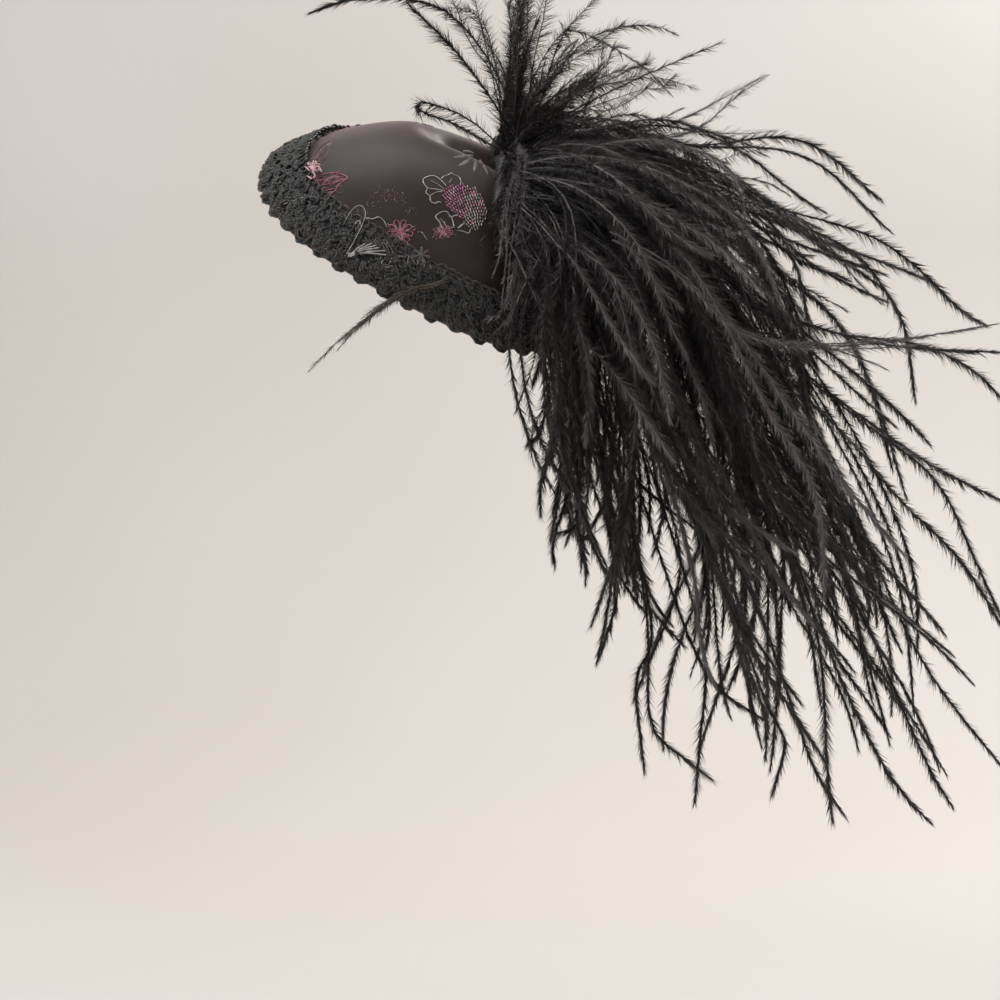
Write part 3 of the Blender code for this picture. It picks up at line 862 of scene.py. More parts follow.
def make_embroidery(tree, looks):
    rng = np.random.default_rng(11)
    threads = {name: Embroidery(tree) for name in looks}
    for name, radius, above, spots in PHOTO_STITCHES:
        threads[name].on_photo([spots], (0, 0), radius=radius, above=above)
    for foot, tip in RIDGE_PETALS:
        middle = (np.array(foot) + tip) / 2
        threads["petal"].on_photo([np.array([foot, middle, tip])], (0, 0), radius=1.15, above=-0.4)
    stitch_chrysanthemum(threads, rng)

    # Bright knot where the half flower meets the braid
    for _ in range(26):
        spot = np.array([316, 174]) + rng.normal(0, 1, 2) * (2.6, 3.8)
        half = rng.normal(0, 1.6, 2)
        threads["blush"].on_photo([np.array([-half, (0, 0), half])], spot, radius=0.42, above=2.9)

    # Its petals are crossed with short stitches
    for _ in range(150):
        along = rng.uniform(0.05, 0.95)
        spot = np.array([306, 184]) + along * np.array([38, -5]) + rng.normal(0, 1, 2) * (2, 4.5)
        half = np.array([2.2, -0.9]) * rng.uniform(0.5, 1.1) + rng.normal(0, 0.3, 2)
        kind = "mauve" if rng.uniform() < 0.6 else "pink"
        threads[kind].on_photo([np.array([-half, (0, 0), half])], spot, radius=0.16, above=0.12)

    # The satin beside it is worked over in fine pale thread lines, laid where its folds catch the light: a painted
    # highlight.
    for _ in range(48):
        spot = np.array([308, 166]) + rng.uniform(0, 1) * np.array([22, -23])
        spot = spot + rng.normal(0, 1, 2) * (1.8, 1.4)
        half = np.array([2.4, -2.5]) * rng.uniform(0.5, 1.1) + rng.normal(0, 0.4, 2)
        kind = "blush" if rng.uniform() < 0.3 else "mauve"
        threads[kind].on_photo([np.array([-half, (0, 0), half])], spot, radius=0.12, above=0.1)

    # Small flowers along the braid
    threads["pink"].on_photo(daisy(9, 13, 5.5, 10), (400, 232), radius=0.15, squash=0.95)
    for centre, spread, count in (((400, 233), (8, 7.5), 96), ((443, 232), (8, 4.5), 72)):
        for _ in range(count):
            spot = np.array(centre) + rng.normal(0, 0.62, 2) * spread
            half = unit(spot - np.array(centre) + rng.normal(0, 1, 2)) * rng.uniform(0.8, 1.9)
            kind = rng.choice(["pink", "pink", "mauve", "blush"])
            threads[kind].on_photo(
                [np.array([-half, (0, 0), half])], spot, radius=0.19, above=0.2
            )
    threads["mauve"].on_photo(daisy(7, 10, 4.5, 0), (443, 232), radius=0.16, squash=0.7)
    threads["grey"].on_photo(
        daisy(7, 9, 1.6, 15), (420, 258), radius=0.15, above=3.3, squash=0.9
    )
    for _ in range(34):
        along = rng.uniform(0, 1)
        spot = np.array([380 + 48 * along, 263 + 4 * along]) + rng.normal(0, 1, 2) * (2, 6)
        half = rng.normal(0, 1.5, 2)
        kind = "silver" if rng.uniform() < 0.3 else "grey"
        threads[kind].on_photo([np.array([-half, (0, 0), half])], spot, radius=0.15, above=3.2)

    # Bright threads that fan out over the braid
    for tip in ((372, 247), (376, 249), (381, 251), (385, 254), (386, 258), (368, 246)):
        foot = np.array((351, 259)) + rng.normal(0, 1.5, 2)
        middle = (foot + tip) / 2 + (0, -1.5)
        threads["silver"].on_photo([np.array([foot, middle, tip])], (0, 0), radius=0.38, above=3.2)
    for number in range(7):
        foot = np.array((366 + 3.4 * number, 241 + 0.6 * number))
        track = np.array([foot, foot + (4, 6), foot + (7, 12)])
        threads["grey"].on_photo([track], (0, 0), radius=0.2, above=2.9)

    # Specks in the plain ground
    for _ in range(110):
        turn = rng.uniform(0, 1)
        spot = np.array([362 + 50 * turn, 214 - 20 * math.sin(3 * turn)]) + rng.normal(0, 3.8, 2)
        half = rng.normal(0, 0.7, 2)
        threads["mauve"].on_photo([np.array([-half, (0, 0), half])], spot, radius=0.13)

    # The same flowers carried on round the sides that the photo doesn't show
    for x, y, angle, kind in PLAN_MOTIFS:
        if kind == "mum":
            threads["plum"].on_plan(stitched_fan(7, 12, 0, 125, rng), (x, y), angle, 0.24, 0.18)
            threads["blush"].on_plan(stitched_fan(4, 7, 20, 80, rng), (x, y), angle, 0.26, 0.3)
            threads["silver"].on_plan([lobed_leaf(11, 8, 5)], (x, y), angle + 160)
            threads["silver"].on_plan([lobed_leaf(9, 6, 4)], (x, y), angle + 205)
        elif kind == "flower":
            threads["pink"].on_plan(daisy(9, 6, 2.6), (x, y), angle, 0.16)
            threads["pink"].on_plan(stitched_fan(3, 3.4, 0, 360, rng), (x, y), angle, 0.22, 0.22)
            threads["silver"].on_plan([lobed_leaf(8, 6, 4)], (x, y), angle + 60)
        else:
            threads["mauve"].on_plan(daisy(7, 5, 2), (x, y), angle, 0.15)
    for name, work in threads.items():
        work.make(name + "_threads", looks[name])


# x and y in mm in the crown's own axes, the motif's angle, and which motif
PLAN_MOTIFS = (
    (2, 54, 40, "mum"),
    (-20, 47, 100, "flower"),
    (22, 47, 10, "sprig"),
    (33, -34, 300, "mum"),
    (44, -10, 20, "flower"),
    (34, 36, 150, "flower"),
    (10, 40, 0, "sprig"),
    (48, 12, 60, "sprig"),
)


# Feathers


# For each kind of flue: barbs per mm on each side, shaft radius in mm at root and tip, turn of
# the vane in radians, then rows of share along it, barb length, opening and barb half width
FLUE_KINDS = {
    "fall": (
        (3.8, 0.30, 0.48, 0.9),
        (
            (0.00, 3.5, 66, 0.13),
            (0.10, 5.2, 60, 0.14),
            (0.35, 5.8, 50, 0.16),
            (0.60, 5.9, 43, 0.19),
            (0.85, 5.6, 35, 0.22),
            (0.96, 4.9, 28, 0.23),
            (1.00, 3.4, 18, 0.16),
        ),
    ),
    "spray": (
        (2.5, 0.34, 0.10, 0.7),
        (
            (0.00, 3.0, 66, 0.12),
            (0.12, 6.2, 60, 0.13),
            (0.50, 6.8, 54, 0.13),
            (0.80, 6.0, 46, 0.12),
            (0.95, 4.2, 30, 0.10),
            (1.00, 2.0, 12, 0.08),
        ),
    ),
    "quill": (
        (2.2, 0.42, 0.12, 0.6),
        (
            (0.00, 2.5, 50, 0.15),
            (0.20, 4.0, 46, 0.17),
            (0.70, 4.2, 38, 0.18),
            (0.94, 3.0, 25, 0.15),
            (1.00, 1.2, 10, 0.10),
        ),
    ),
    "fluff": (
        (2.2, 0.40, 0.16, 2.2),
        (
            (0.00, 2.5, 62, 0.16),
            (0.15, 4.4, 60, 0.18),
            (0.45, 5.8, 56, 0.20),
            (0.90, 5.0, 42, 0.18),
            (1.00, 2.8, 20, 0.14),
        ),
    ),
}


# Under 1, barbs stand closer together towards the flue's tip, where it is seen alone
CROWDING = {"fall": 0.62, "spray": 1.0, "quill": 0.9, "fluff": 0.9}
# How far a barb keeps its opening to its tip, and how unevenly barbs turn round the shaft
BEND = {"fall": 0.60, "spray": 0.82, "quill": 0.45, "fluff": 0.5}
SCATTER = {"fall": 0.50, "spray": 0.26, "quill": 0.40, "fluff": 0.50}


class Flues(Parts):
    """Feather flues, with a map that gives each flue a strip of its own."""

    def __init__(self):
        super().__init__()
        self.spots, self.flues = [], 0

    def add_flue(self, track, rng, kind, scale=1.0, tint=0.0):
        (pitch, thick, thin, turning), rows = FLUE_KINDS[kind]
        rows = np.array(rows)
        length = path_length(track)
        count = max(7, int(length / 0.0065))
        shaft = clear_of_crown(even(track, count), 0.0016)
        share = np.linspace(0, 1, count)
        row = self.flues
        self.flues += 1

        before = self.count
        radii = (thick + (thin - thick) * share**0.8) * MM * min(1.0, 0.6 + 0.4 * scale)
        radii[-1] *= 0.4
        tube(self, shaft, radii, 3, tint=np.clip(0.15 * share + tint, 0, 1))
        self.spots.append(
            np.stack(
                [np.repeat(share, 3), row + 0.04 + 0.05 * np.tile([0, 1, 2], count)], axis=-1
            )
        )

        tangents, first, second = side_frames(shaft)
        barbs = int(length / MM * pitch)
        where = ((np.arange(barbs) + rng.uniform(0, 1, barbs)) / barbs) ** CROWDING[kind]
        where = np.repeat(where, 2)
        side = np.tile([1.0, -1.0], barbs)
        number = np.arange(2 * barbs)
        clump = (number // 2) // rng.integers(3, 6)
        clump = clump * 2 + (number % 2)
        spread = rng.normal(0, 1, (clump.max() + 1, 3))[clump]

        def sample(values):
            return np.stack([np.interp(where, share, values[:, k]) for k in range(3)], axis=-1)

        place, along = sample(shaft), unit(sample(tangents))
        start = rng.uniform(0, 2 * np.pi)
        twist = start + turning * np.sin(where * rng.uniform(2, 5) + start)
        uneven = SCATTER[kind]
        twist = twist + 0.9 * uneven * spread[:, 0] + rng.normal(0, uneven, 2 * barbs)
        out = np.cos(twist)[:, None] * sample(first) + np.sin(twist)[:, None] * sample(second)
        out = unit(out) * side[:, None]
        size = np.interp(where, rows[:, 0], rows[:, 1]) * MM * scale
        size = size * (1 + 0.16 * spread[:, 1]) * rng.uniform(0.75, 1.12, 2 * barbs)
        opening = np.radians(np.interp(where, rows[:, 0], rows[:, 2]))
        opening = opening * np.clip(1 + 0.22 * spread[:, 2] + rng.normal(0, 0.1, 2 * barbs), 0.3, 1.8)
        away = np.cos(opening)[:, None] * along + np.sin(opening)[:, None] * out
        bent = opening * BEND[kind]
        ends = np.cos(bent)[:, None] * along + np.sin(bent)[:, None] * out
        ends = ends + np.array([0, 0, -0.18])
        half = np.interp(where, rows[:, 0], rows[:, 3]) * MM * rng.uniform(0.8, 1.15, 2 * barbs)
        across = unit(np.cross(out, along) + 0.9 * along + rng.normal(0, 0.35, away.shape))
        base_a = place - half[:, None] * across
        base_b = place + half[:, None] * across
        middle = clear_of_crown(place + 0.55 * size[:, None] * away, 0.0003)
        tip = clear_of_crown(middle + 0.45 * size[:, None] * unit(ends), 0.0003)
        edge = 0.62 * half[:, None] * across
        share_low = np.stack([where, np.full_like(where, row + 0.2)], axis=-1)
        step = np.stack([half / max(length, 1e-4), np.zeros_like(half)], axis=-1)
        mid_spot = share_low + np.array([0, 0.4])
        low = np.clip(0.10 + 0.35 * where + tint, 0, 1)
        high = np.clip(0.30 + 0.70 * where + tint, 0, 1)
        center = (low + high) / 2
        if kind == "spray":
            verts = np.stack([base_a, base_b, middle + edge, middle - edge, tip], axis=1)
            spot = np.stack(
                [share_low - step, share_low + step, mid_spot + step, mid_spot - step,
                 share_low + np.array([0, 0.75])],
                axis=1,
            )
            tints = np.stack([low, low, center, center, high], axis=1)
            shape = ((0, 1, 2), (0, 2, 3), (3, 2, 4))
        else:
            verts = np.stack([base_a, base_b, tip], axis=1)
            spot = np.stack(
                [share_low - step, share_low + step, share_low + np.array([0, 0.75])], axis=1
            )
            tints = np.stack([low, low, high], axis=1)
            shape = ((0, 1, 2),)
        width = verts.shape[1]
        faces = (width * number[:, None, None] + np.array(shape)).reshape(-1, 3)
        self.add(verts, faces, tints.reshape(-1))
        self.spots.append(spot.reshape(-1, 2))
        assert sum(len(s) for s in self.spots) == self.count and before < self.count

    def make_mapped(self, name, material, node):
        made = self.make(name, material, "black_feather", smooth=False)
        mesh = made.data
        spots = np.concatenate(self.spots)
        spots[:, 0] = np.clip(spots[:, 0], 0, 1)
        spots[:, 1] /= self.flues
        chosen = np.empty(len(mesh.loops), np.int32)
        mesh.loops.foreach_get("vertex_index", chosen)
        layer = mesh.uv_layers.new(name="OFBake")
        layer.data.foreach_set("uv", spots[chosen].reshape(-1).astype(np.float32))
        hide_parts(node)
        print(name, self.flues, "flues", sum(len(f) * (f.shape[1] - 2) for f in self.faces))
        return made


def in_box(points):
    low = np.array(cad_box[0]) - 0.0075
    high = np.array(cad_box[1]) + 0.0075
    return np.all((points > low) & (points < high), axis=1)


def clipped(track):
    """The path up to where it would leave the CAD's box."""
    inside = in_box(track)
    return track if inside.all() else track[: max(8, int(np.argmin(inside)))]


def wander(track, rng, size):
    """Lets a path drift, more and more towards its tip."""
    share = np.linspace(0, 1, len(track))[:, None]
    drift = np.zeros_like(track)
    for waves in (0.8, 1.7, 3.3):
        turn = rng.uniform(0, 2 * np.pi, 3)
        drift += np.clip(rng.normal(0, 1, 3), -1.5, 1.5) / waves * np.sin(2 * np.pi * waves * share * 0.8 + turn)
    hook = np.clip(rng.normal(0, 1, 3), -1.6, 1.6) * np.clip(share - 0.70, 0, 1) ** 1.5 * 7
    return track + size * MM * (share**1.3 * drift + hook)


BUNCH_COLUMNS = (
    "plume kind flues root_from root_to depth_low depth_high short spread rise out lift hang "
    "fall drift children tips"
).split()
# Roots are shares of the header line; depths in mm; short is the least share of the reach;
# spread is how far, in pixels of the photo, tips scatter about the line that they end on;
# lift in degrees; drift in mm; children is how many flues run beside each one
BUNCH_ROWS = (
    ("crest", "spray", 8, 0.02, 0.16, 10, 50, 0.62, 10, 0.36, 0.7, 10, 0.0, 0.3, 6, 0,
     ((508, -60), (526, -120), (546, -130), (570, -100))),
    ("crest", "spray", 7, 0.00, 0.14, 0, 60, 0.60, 26, 0.34, 0.5, 0, 0.0, 0.3, 10, 0,
     ((430, 20), (465, -20), (500, -60), (545, -80))),
    ("crest", "spray", 9, 0.06, 0.25, 5, 75, 0.62, 26, 0.36, 0.6, 18, 0.15, 0.35, 10, 0,
     ((600, -40), (650, 0), (700, 44), (745, 80))),
    ("crest", "spray", 12, 0.06, 0.30, 0, 80, 0.60, 26, 0.34, 0.7, 22, 0.35, 0.4, 10, 0,
     ((590, 10), (635, 55), (670, 90), (700, 130))),
    ("crest", "fluff", 18, 0.00, 0.20, 0, 45, 0.45, 10, 0.40, 0.9, 6, 0.0, 0.4, 5, 0,
     ((512, 40), (524, 0), (542, 30), (565, 70))),
    ("crest", "fluff", 34, 0.05, 0.45, -15, 70, 0.45, 16, 0.40, 0.9, 10, 0.3, 0.4, 7, 0,
     ((560, 85), (610, 108), (670, 140), (730, 172), (790, 206))),
    ("rear", "fall", 17, 0.22, 0.48, -10, 80, 0.55, 32, 0.34, 0.6, 14, 0.5, 0.42, 12, 1,
     ((765, 200), (820, 240), (860, 268), (920, 315))),
    ("rear", "fall", 9, 0.30, 0.60, -25, 78, 0.55, 34, 0.34, 0.6, 24, 0.7, 0.44, 12, 1,
     ((925, 345), (930, 430), (935, 520), (930, 600))),
    ("rear", "fall", 22, 0.36, 0.70, -40, 70, 0.58, 30, 0.34, 0.6, 34, 0.9, 0.46, 12, 2,
     ((925, 620), (915, 700), (905, 780), (880, 800))),
    ("side", "fall", 19, 0.50, 0.85, -62, 40, 0.58, 30, 0.32, 0.6, 40, 1.0, 0.46, 12, 2,
     ((865, 790), (820, 780), (770, 745), (725, 765))),
    ("side", "fall", 12, 0.60, 0.95, -72, 10, 0.55, 22, 0.30, 0.7, 36, 1.1, 0.46, 11, 2,
     ((715, 770), (680, 740), (645, 725), (612, 655))),
    ("side", "fall", 14, 0.55, 1.00, -74, -34, 0.60, 14, 0.34, 1.0, 14, 1.3, 0.5, 8, 1,
     ((612, 590), (594, 535), (568, 530), (556, 445))),
    ("side", "fall", 10, 0.30, 0.85, -62, -38, 0.62, 8, 0.30, 1.2, 0, 1.3, 0.5, 5, 0,
     ((590, 430), (572, 420), (556, 380), (542, 340))),
    ("rear", "fluff", 64, 0.10, 0.75, -45, 60, 0.35, 34, 0.36, 0.9, 12, 0.5, 0.4, 12, 0,
     ((700, 210), (765, 270), (810, 340), (835, 430))),
    ("side", "fluff", 50, 0.35, 1.00, -66, 30, 0.35, 34, 0.34, 1.0, 14, 1.0, 0.45, 12, 0,
     ((820, 460), (755, 500), (690, 520), (615, 440))),
    ("side", "fluff", 22, 0.05, 1.00, -56, -30, 0.45, 12, 0.34, 1.0, 0, 0.9, 0.5, 6, 0,
     ((612, 350), (580, 320), (556, 290), (540, 250))),
    # Grey flues that stand in for glints of light in the dark mass: their grey is a painted highlight.
    ("glint", "fall", 12, 0.10, 0.95, -66, -10, 0.60, 40, 0.36, 0.8, 14, 0.8, 0.45, 5, 0,
     ((730, 200), (780, 300), (740, 420), (640, 450))),
    ("glint", "fall", 9, 0.30, 1.00, -72, -40, 0.60, 40, 0.34, 0.8, 26, 1.0, 0.46, 6, 0,
     ((880, 560), (800, 660), (700, 640), (620, 560))),
)


def along_line(points, share):
    points = np.asarray(points, float)
    at = np.clip(share, 0, 1) * (len(points) - 1)
    return np.array([np.interp(at, np.arange(len(points)), points[:, k]) for k in range(2)])


def bunch_track(bunch, rng):
    share = rng.uniform(0, 1)
    root_at = bunch["root_from"] + np.clip(share + rng.normal(0, 0.18), 0, 1) * (
        bunch["root_to"] - bunch["root_from"]
    )
    across = rng.uniform(-0.15, 0.38) * PAD_WIDTH
    spot = header_point(root_at, across)
    root = over_crown(spot[0], spot[1], PAD_GAP + PAD_HEIGHT * rng.uniform(0.1, 0.8))
    out = crown_normal(spot[0], spot[1]) @ TURN3.T
    tip_px = along_line(bunch["tips"], share + rng.normal(0, 0.12))
    tip_px = tip_px + bunch["spread"] * np.clip(rng.normal(0, 1, 2), -1.4, 1.4)
    depth = rng.uniform(bunch["depth_low"], bunch["depth_high"])
    tip = from_pixel(tip_px[0], tip_px[1], depth * MM)
    length = rng.uniform(bunch["short"] ** 2, 1.06) ** 0.5
    tip = root + (tip - root) * length
    run = tip - root
    reach = np.linalg.norm(run)
    toward = run / reach
    lift = math.radians(bunch["lift"] * rng.uniform(0.6, 1.5))
    flat = np.array([toward[0], 0.6 * toward[1], toward[2]])
    cos, sin = math.cos(lift), math.sin(lift)
    raised = np.array([cos * flat[0] - sin * flat[2], flat[1], sin * flat[0] + cos * flat[2]])
    first = unit(bunch["out"] * rng.uniform(0.6, 1.3) * out + unit(raised) + rng.normal(0, 0.16, 3))
    rise = root + bunch["rise"] * reach * rng.uniform(0.75, 1.2) * first
    ends = unit(toward + bunch["hang"] * rng.uniform(0.4, 1.4) * np.array([0, 0, -1.0]))
    ends = unit(ends + rng.normal(0, 0.24, 3))
    fall = tip - bunch["fall"] * reach * ends
    t = np.linspace(0, 1, 60)[:, None]
    s = 1 - t
    track = s**3 * root + 3 * s * s * t * rise + 3 * s * t * t * fall + t**3 * tip
    return track, reach


def make_plumes(look, painted_glint_look):
    rng = np.random.default_rng(21)
    pieces = {}
    for row in BUNCH_ROWS:
        bunch = dict(zip(BUNCH_COLUMNS, row))
        flues = pieces.setdefault((bunch["plume"], bunch["kind"] == "fluff"), Flues())
        for _ in range(bunch["flues"]):
            track, reach = bunch_track(bunch, rng)
            amount = bunch["drift"] * (0.4 + 0.6 * reach / 0.25)
            main = wander(track, rng, amount)
            flues.add_flue(clipped(main), rng, bunch["kind"], rng.uniform(0.85, 1.12))
            share = np.linspace(0, 1, 60)[:, None]
            for _ in range(bunch["children"]):
                beside = main + rng.normal(0, 1, 3) * MM * (0.8 + 3.4 * share**1.5)
                beside = wander(beside, rng, 0.35 * amount)
                beside = beside[: int(60 * rng.uniform(0.72, 1.0))]
                flues.add_flue(clipped(beside), rng, bunch["kind"], rng.uniform(0.8, 1.1))
    for (plume, soft), flues in pieces.items():
        name = plume + ("_down" if soft else "_flues")
        # The glint rows take the grey look, a painted highlight.
        if plume == "glint":
            flues.make_mapped(name, painted_glint_look, "side_plume")
        else:
            flues.make_mapped(name, look, plume + "_plume")


# Single flues that stand clear of the rest. Each has its barb length in mm, its depth in mm
# at the root and at the tip, and the pixels of the photo that it passes through.
SINGLE_COLUMNS = "barb depth_root depth_tip spots".split()
SINGLES = (
    (3.4, 25, 5, ((512, 150), (505, 92), (470, 34), (430, 4), (360, -2), (312, 12))),
    (3.6, 25, -5, ((516, 140), (492, 100), (455, 50), (410, 6))),
    (6.2, 25, 0, ((514, 150), (500, 110), (489, 60), (478, 12), (470, -20))),
    (3.0, 20, 0, ((506, 152), (470, 120), (432, 104), (414, 102), (420, 112), (450, 122), (500, 150))),
    (7.0, 30, 45, ((520, 150), (538, 110), (552, 62), (566, 30), (590, 36), (620, 52), (650, 72),
     (672, 96))),
    (7.0, 30, 20, ((520, 150), (550, 124), (590, 102), (630, 82), (676, 62), (722, 42))),
    (6.0, 30, 10, ((520, 150), (540, 118), (572, 92), (610, 74), (650, 64))),
    (5.6, 28, 40, ((518, 150), (530, 90), (548, 50), (575, 20), (602, -8))),
    (5.6, 28, 60, ((540, 152), (600, 150), (660, 140), (700, 128), (735, 98), (768, 76))),
    (6.0, 28, 60, ((530, 150), (580, 148), (620, 138), (680, 120), (735, 92), (765, 76))),
    (6.4, 20, 40, ((540, 158), (600, 160), (660, 168), (720, 160), (750, 150), (768, 156))),
    (4.2, 10, -30, ((560, 190), (660, 185), (760, 205), (860, 232), (910, 262), (960, 310), (985, 325))),
    (4.0, 5, 10, ((560, 200), (680, 200), (780, 220), (850, 250), (885, 290), (905, 330), (915, 400))),
    (2.4, -5, -55, ((585, 215), (640, 250), (690, 310), (740, 336), (820, 346), (900, 340), (1000, 323))),
    (3.6, 0, 20, ((600, 230), (720, 290), (820, 330), (920, 345), (975, 372), (1002, 400))),
    (3.0, 0, -20, ((600, 240), (740, 300), (860, 340), (940, 350), (1000, 352))),
    (3.2, 0, 40, ((600, 240), (700, 290), (800, 370), (880, 430), (940, 470), (1000, 500))),
    (3.4, 0, 0, ((600, 250), (720, 330), (830, 420), (900, 500), (960, 560), (1004, 630))),
    (3.4, 0, 50, ((610, 250), (740, 330), (860, 420), (935, 480), (975, 560), (1004, 625))),
    (3.4, -5, 20, ((600, 260), (720, 370), (820, 480), (880, 560), (925, 610), (945, 634))),
    (3.2, -5, 0, ((590, 270), (700, 400), (790, 560), (850, 700), (900, 790), (965, 853))),
    (3.2, -5, 30, ((600, 270), (730, 400), (830, 540), (890, 680), (930, 770), (958, 815))),
    (3.2, -10, -20, ((580, 280), (660, 400), (740, 560), (790, 700), (815, 770), (845, 816))),
    (3.4, -10, -35, ((575, 280), (650, 400), (715, 560), (765, 700), (785, 740), (772, 795))),
    (3.4, -15, -45, ((570, 285), (625, 400), (680, 560), (705, 660), (700, 740), (695, 803))),
    (3.4, -15, -45, ((565, 285), (612, 400), (655, 540), (690, 640), (720, 690), (765, 720))),
    (3.4, -18, -50, ((560, 290), (600, 400), (640, 560), (652, 640), (636, 680), (644, 770))),
    (3.0, -18, -50, ((560, 290), (604, 420), (645, 600), (650, 720), (680, 755), (712, 780))),
    (3.6, -20, -52, ((550, 300), (585, 400), (618, 500), (618, 590), (600, 656))),
    (2.8, -22, -52, ((548, 300), (580, 420), (612, 480), (618, 510), (590, 537))),
    (3.4, -26, -46, ((540, 310), (556, 400), (570, 470), (582, 520), (556, 534))),
    (4.2, -24, -44, ((532, 300), (540, 350), (545, 400), (542, 430), (528, 444))),
    (4.2, -24, -46, ((536, 300), (548, 350), (556, 400), (556, 440), (550, 462))),
)


# The flues nearest the viewer that catch the light, given a grey that is a painted highlight
PAINTED_GLINT_SINGLES = (
    (2.2, -46, -72, ((610, 232), (660, 258), (692, 284), (722, 318), (760, 337), (820, 344),
     (900, 339), (960, 331), (998, 324))),
    (2.2, -47, -71, ((612, 240), (662, 264), (694, 290), (724, 322), (762, 341), (822, 349),
     (880, 348), (930, 343))),
    (3.4, -46, -66, ((520, 285), (566, 326), (602, 360), (630, 396), (672, 458))),
    (3.4, -20, -66, ((530, 175), (590, 185), (650, 205), (710, 240), (760, 290))),
    (3.4, -38, -68, ((528, 230), (580, 250), (625, 290), (655, 350), (670, 420))),
    (3.4, -42, -68, ((522, 250), (556, 280), (580, 330), (590, 390), (585, 440))),
)
# Downy strands that hang down the crown from the near end of the bound roots
HANGING = (
    (3.2, ((510, 143), (509, 162), (506, 180), (502, 200), (498, 222), (496, 245), (494, 270),
     (491, 307))),
    (3.0, ((511, 145), (507, 168), (501, 186), (496, 200), (492, 225), (490, 250), (488, 268),
     (482, 283))),
    (3.4, ((512, 146), (511, 170), (508, 200), (505, 235), (504, 262), (502, 290), (499, 318))),
    (3.6, ((509, 240), (503, 270), (498, 300), (488, 318), (474, 322))),
    (3.6, ((512, 250), (507, 280), (502, 305), (496, 322), (484, 333))),
)
# A wisp that comes off the crown's near edge and lies down and forward
WISP = (
    (3.6, ((452, 279), (432, 287), (412, 292), (395, 299), (376, 311), (350, 331), (326, 353),
     (308, 372))),
    (3.4, ((446, 282), (424, 289), (402, 296), (384, 306), (362, 322), (340, 341))),
    (2.2, ((438, 285), (414, 290), (392, 300), (372, 315), (352, 329))),
)


def make_singles(look, painted_glint_look, pale_look, wisp_look, tree):
    rng = np.random.default_rng(4)
    # The flues that catch the light take the grey look as a painted highlight.
    for name, rows, piece_look in (
        ("single_flues", SINGLES, look), ("glint_painted_flues", PAINTED_GLINT_SINGLES, painted_glint_look)
    ):
        flues = Flues()
        for row in rows:
            single = dict(zip(SINGLE_COLUMNS, row))
            spots = single["spots"]
            share = np.linspace(0, 1, len(spots))
            depth = single["depth_root"] + share**1.3 * (
                single["depth_tip"] - single["depth_root"]
            )
            points = [from_pixel(px, py, d * MM) for (px, py), d in zip(spots, depth)]
            track = clipped(bezier(points, 60))
            barb = single["barb"]
            kind = "fluff" if barb > 6.5 else "spray" if barb > 5 else "quill" if barb < 3 else "fall"
            flues.add_flue(even(track, 60), rng, kind)
        flues.make_mapped(name, piece_look, "rear_plume")

    for name, rows, above, start, piece_look in (
        ("hanging_strands", HANGING, 8.9, 6.0, pale_look),
        ("front_wisp", WISP, 4.2, 0.4, wisp_look),
    ):
        strands = Flues()
        for barb, spots in rows:
            track = bezier(off_crown(tree, spots, above, start), 60)
            strands.add_flue(track, rng, "fluff", barb / 6.0)
            for _ in range(2):
                beside = wander(track + rng.normal(0, 0.6, 3) * MM, rng, 1.0)
                beside = beside[: int(rng.uniform(34, 58))]
                strands.add_flue(beside, rng, "fluff", barb / 6.5)
        strands.make_mapped(name, piece_look, "side_plume")


def make_veil(look):
    """Downy flues that hang along the bound roots and hide them."""
    rng = np.random.default_rng(8)
    veil = Flues()
    top = np.array([HEADER_TOP[0] * HALF_LENGTH, HEADER_TOP[1] * HALF_WIDTH])
    foot = np.array([HEADER_FOOT[0] * HALF_LENGTH, HEADER_FOOT[1] * HALF_WIDTH])
    run = unit(foot - top)
    side = np.array([-run[1], run[0]])
    t = np.linspace(0, 1, 40)
    for _ in range(52):
        start, length = rng.uniform(-0.05, 0.78), rng.uniform(0.2, 0.42)
        share = start + length * t
        across = PAD_WIDTH * (rng.uniform(-0.34, 0.3) - rng.uniform(0.0, 0.2) * t)
        above = PAD_GAP + PAD_HEIGHT * rng.uniform(0.9, 1.15) * (1 - 0.55 * t**2)
        above = above + 1.6 * MM * np.sin(np.pi * t)
        spots = top + share[:, None] * (foot - top) + across[:, None] * side
        track = over_crown(spots[:, 0], spots[:, 1], above)
        veil.add_flue(wander(track, rng, 1.4), rng, "fluff", rng.uniform(0.42, 0.68))
    veil.make_mapped("root_down", look, "side_plume")


def off_crown(tree, spots, above, start):
    """Points over the crown, and past its edge at the depth that they had there."""
    eye = from_pixel(500, 500, 0) - np.array([0, CAMERA_DISTANCE, 0])
    found = []
    for px, py in spots:
        hit = tree.ray_cast(Vector(eye), Vector(unit(from_pixel(px, py, 0) - eye)))[0]
        found.append(None if hit is None else np.array(hit))
    depth = next(place[1] for place in found if place is not None)
    for number, (px, py) in enumerate(spots):
        if found[number] is None:
            found[number] = from_pixel(px, py, depth)
        else:
            rise = start if number == 0 else above
            found[number] += rise * MM * outward(found[number])
            depth = found[number][1]
    return found


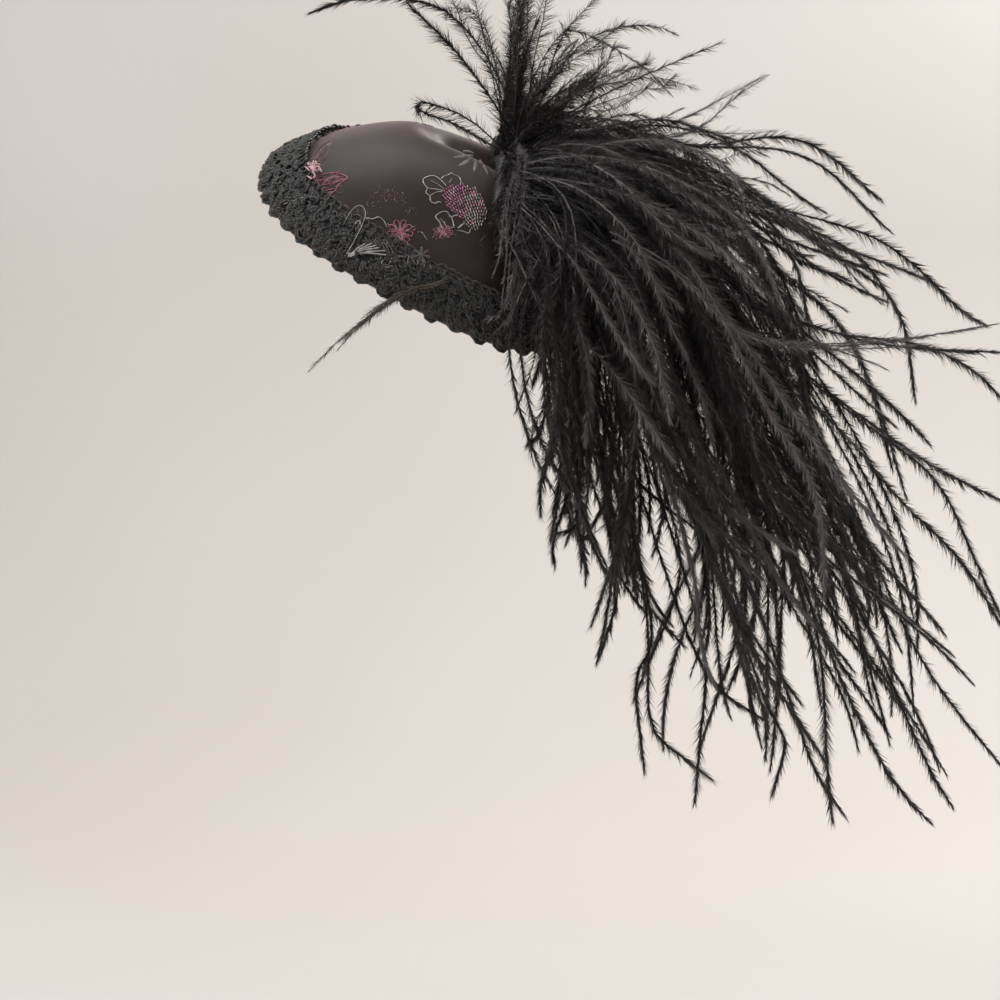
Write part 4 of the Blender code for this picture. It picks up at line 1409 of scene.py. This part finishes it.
def make_header(look):
    """The bound roots of the flues: a low pad with black thread wound round it."""
    pad = Parts()
    stations, sides, windings = 300, 14, 62
    top = np.array([HEADER_TOP[0] * HALF_LENGTH, HEADER_TOP[1] * HALF_WIDTH])
    foot = np.array([HEADER_FOOT[0] * HALF_LENGTH, HEADER_FOOT[1] * HALF_WIDTH])
    run = unit(foot - top)
    share = np.linspace(0, 1, stations)[:, None]
    turn = 2 * np.pi * np.arange(sides)[None] / sides
    full = np.sqrt(np.clip(1 - np.abs(2 * share - 1) ** 6, 0.002, 1))
    wound = 1 + 0.07 * np.abs(np.sin(np.pi * windings * share + turn))
    across = PAD_WIDTH / 2 * full * wound * np.cos(turn)
    above = PAD_GAP + PAD_HEIGHT / 2 * (1 + full * wound * np.sin(turn))
    spots = top + share[..., None] * (foot - top) + across[..., None] * [-run[1], run[0]]
    verts = over_crown(spots[..., 0], spots[..., 1], above).reshape(-1, 3)
    rows, cols = np.arange(stations - 1)[:, None] * sides, np.arange(sides)[None]
    beside = (cols + 1) % sides
    quads = np.stack(
        [rows + cols, rows + beside, rows + sides + beside, rows + sides + cols], axis=-1
    )
    pad.add(verts, quads.reshape(-1, 4))
    for first in (0, (stations - 1) * sides):
        fan = np.arange(1, sides - 1)
        pad.faces.append(np.stack([0 * fan + first, fan + first, fan + 1 + first], axis=-1))
    made = pad.make("root_binding", look, "black_feather")
    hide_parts("crest_plume")


def finish_comb():
    """The comb keeps its CAD shape and gets a finished material."""
    comb = frame["nodes"]["hair_comb"]
    look = comb_material()
    for slot in comb.material_slots:
        slot.material = look


def main():
    add_camera()
    add_stage()
    add_lights()
    satin = satin_material()
    tree = make_crown(satin)
    cord = thread_material("gimp_cord", (0.011, 0.011, 0.011), (0.058, 0.057, 0.057), 0.33, sheen=0.10)
    band = thread_material("gimp_band", (0.008, 0.008, 0.009), (0.02, 0.02, 0.022), 0.7)
    make_braid(cord, band)
    looks = {
        "blush": thread_material("blush_thread", (0.50, 0.24, 0.30), (0.90, 0.60, 0.64), 0.35),
        "grey": thread_material("grey_thread", (0.10, 0.10, 0.10), (0.26, 0.26, 0.25), 0.4),
        "petal": thread_material("petal_thread", (0.17, 0.13, 0.14), (0.32, 0.26, 0.27), 0.42),
        "silver": thread_material("silver_thread", (0.35, 0.34, 0.33), (0.75, 0.73, 0.7), 0.32, 0.6),
        "pink": thread_material("pink_thread", (0.38, 0.09, 0.15), (0.72, 0.30, 0.38), 0.4),
        "mauve": thread_material("mauve_thread", (0.16, 0.09, 0.11), (0.33, 0.2, 0.23), 0.45),
        "plum": thread_material("plum_thread", (0.30, 0.06, 0.18), (0.68, 0.27, 0.48), 0.38),
    }
    make_embroidery(tree, looks)
    # The dark end is a dark grey rather than the feathers' near-black: partly their colour, partly a painted haze of
    # glare from the light behind them.
    feather = feather_material("ostrich_black", (0.0240, 0.0222, 0.0222), (0.026, 0.0175, 0.0135))
    # A grey that stands in for glints of light on the black flues: a painted highlight.
    grey = feather_material("ostrich_painted_glint", (0.085, 0.077, 0.080), (0.24, 0.215, 0.21))
    pale = feather_material("ostrich_pale", (0.15, 0.135, 0.142), (0.34, 0.31, 0.31))
    wisp = feather_material("ostrich_wisp", (0.13, 0.105, 0.085), (0.30, 0.24, 0.19))
    make_header(feather_material("root_thread", (0.008, 0.0075, 0.0075), (0.016, 0.014, 0.014)))
    make_plumes(feather, grey)
    make_veil(feather)
    make_singles(feather, grey, pale, wisp, tree)
    finish_comb()


main()
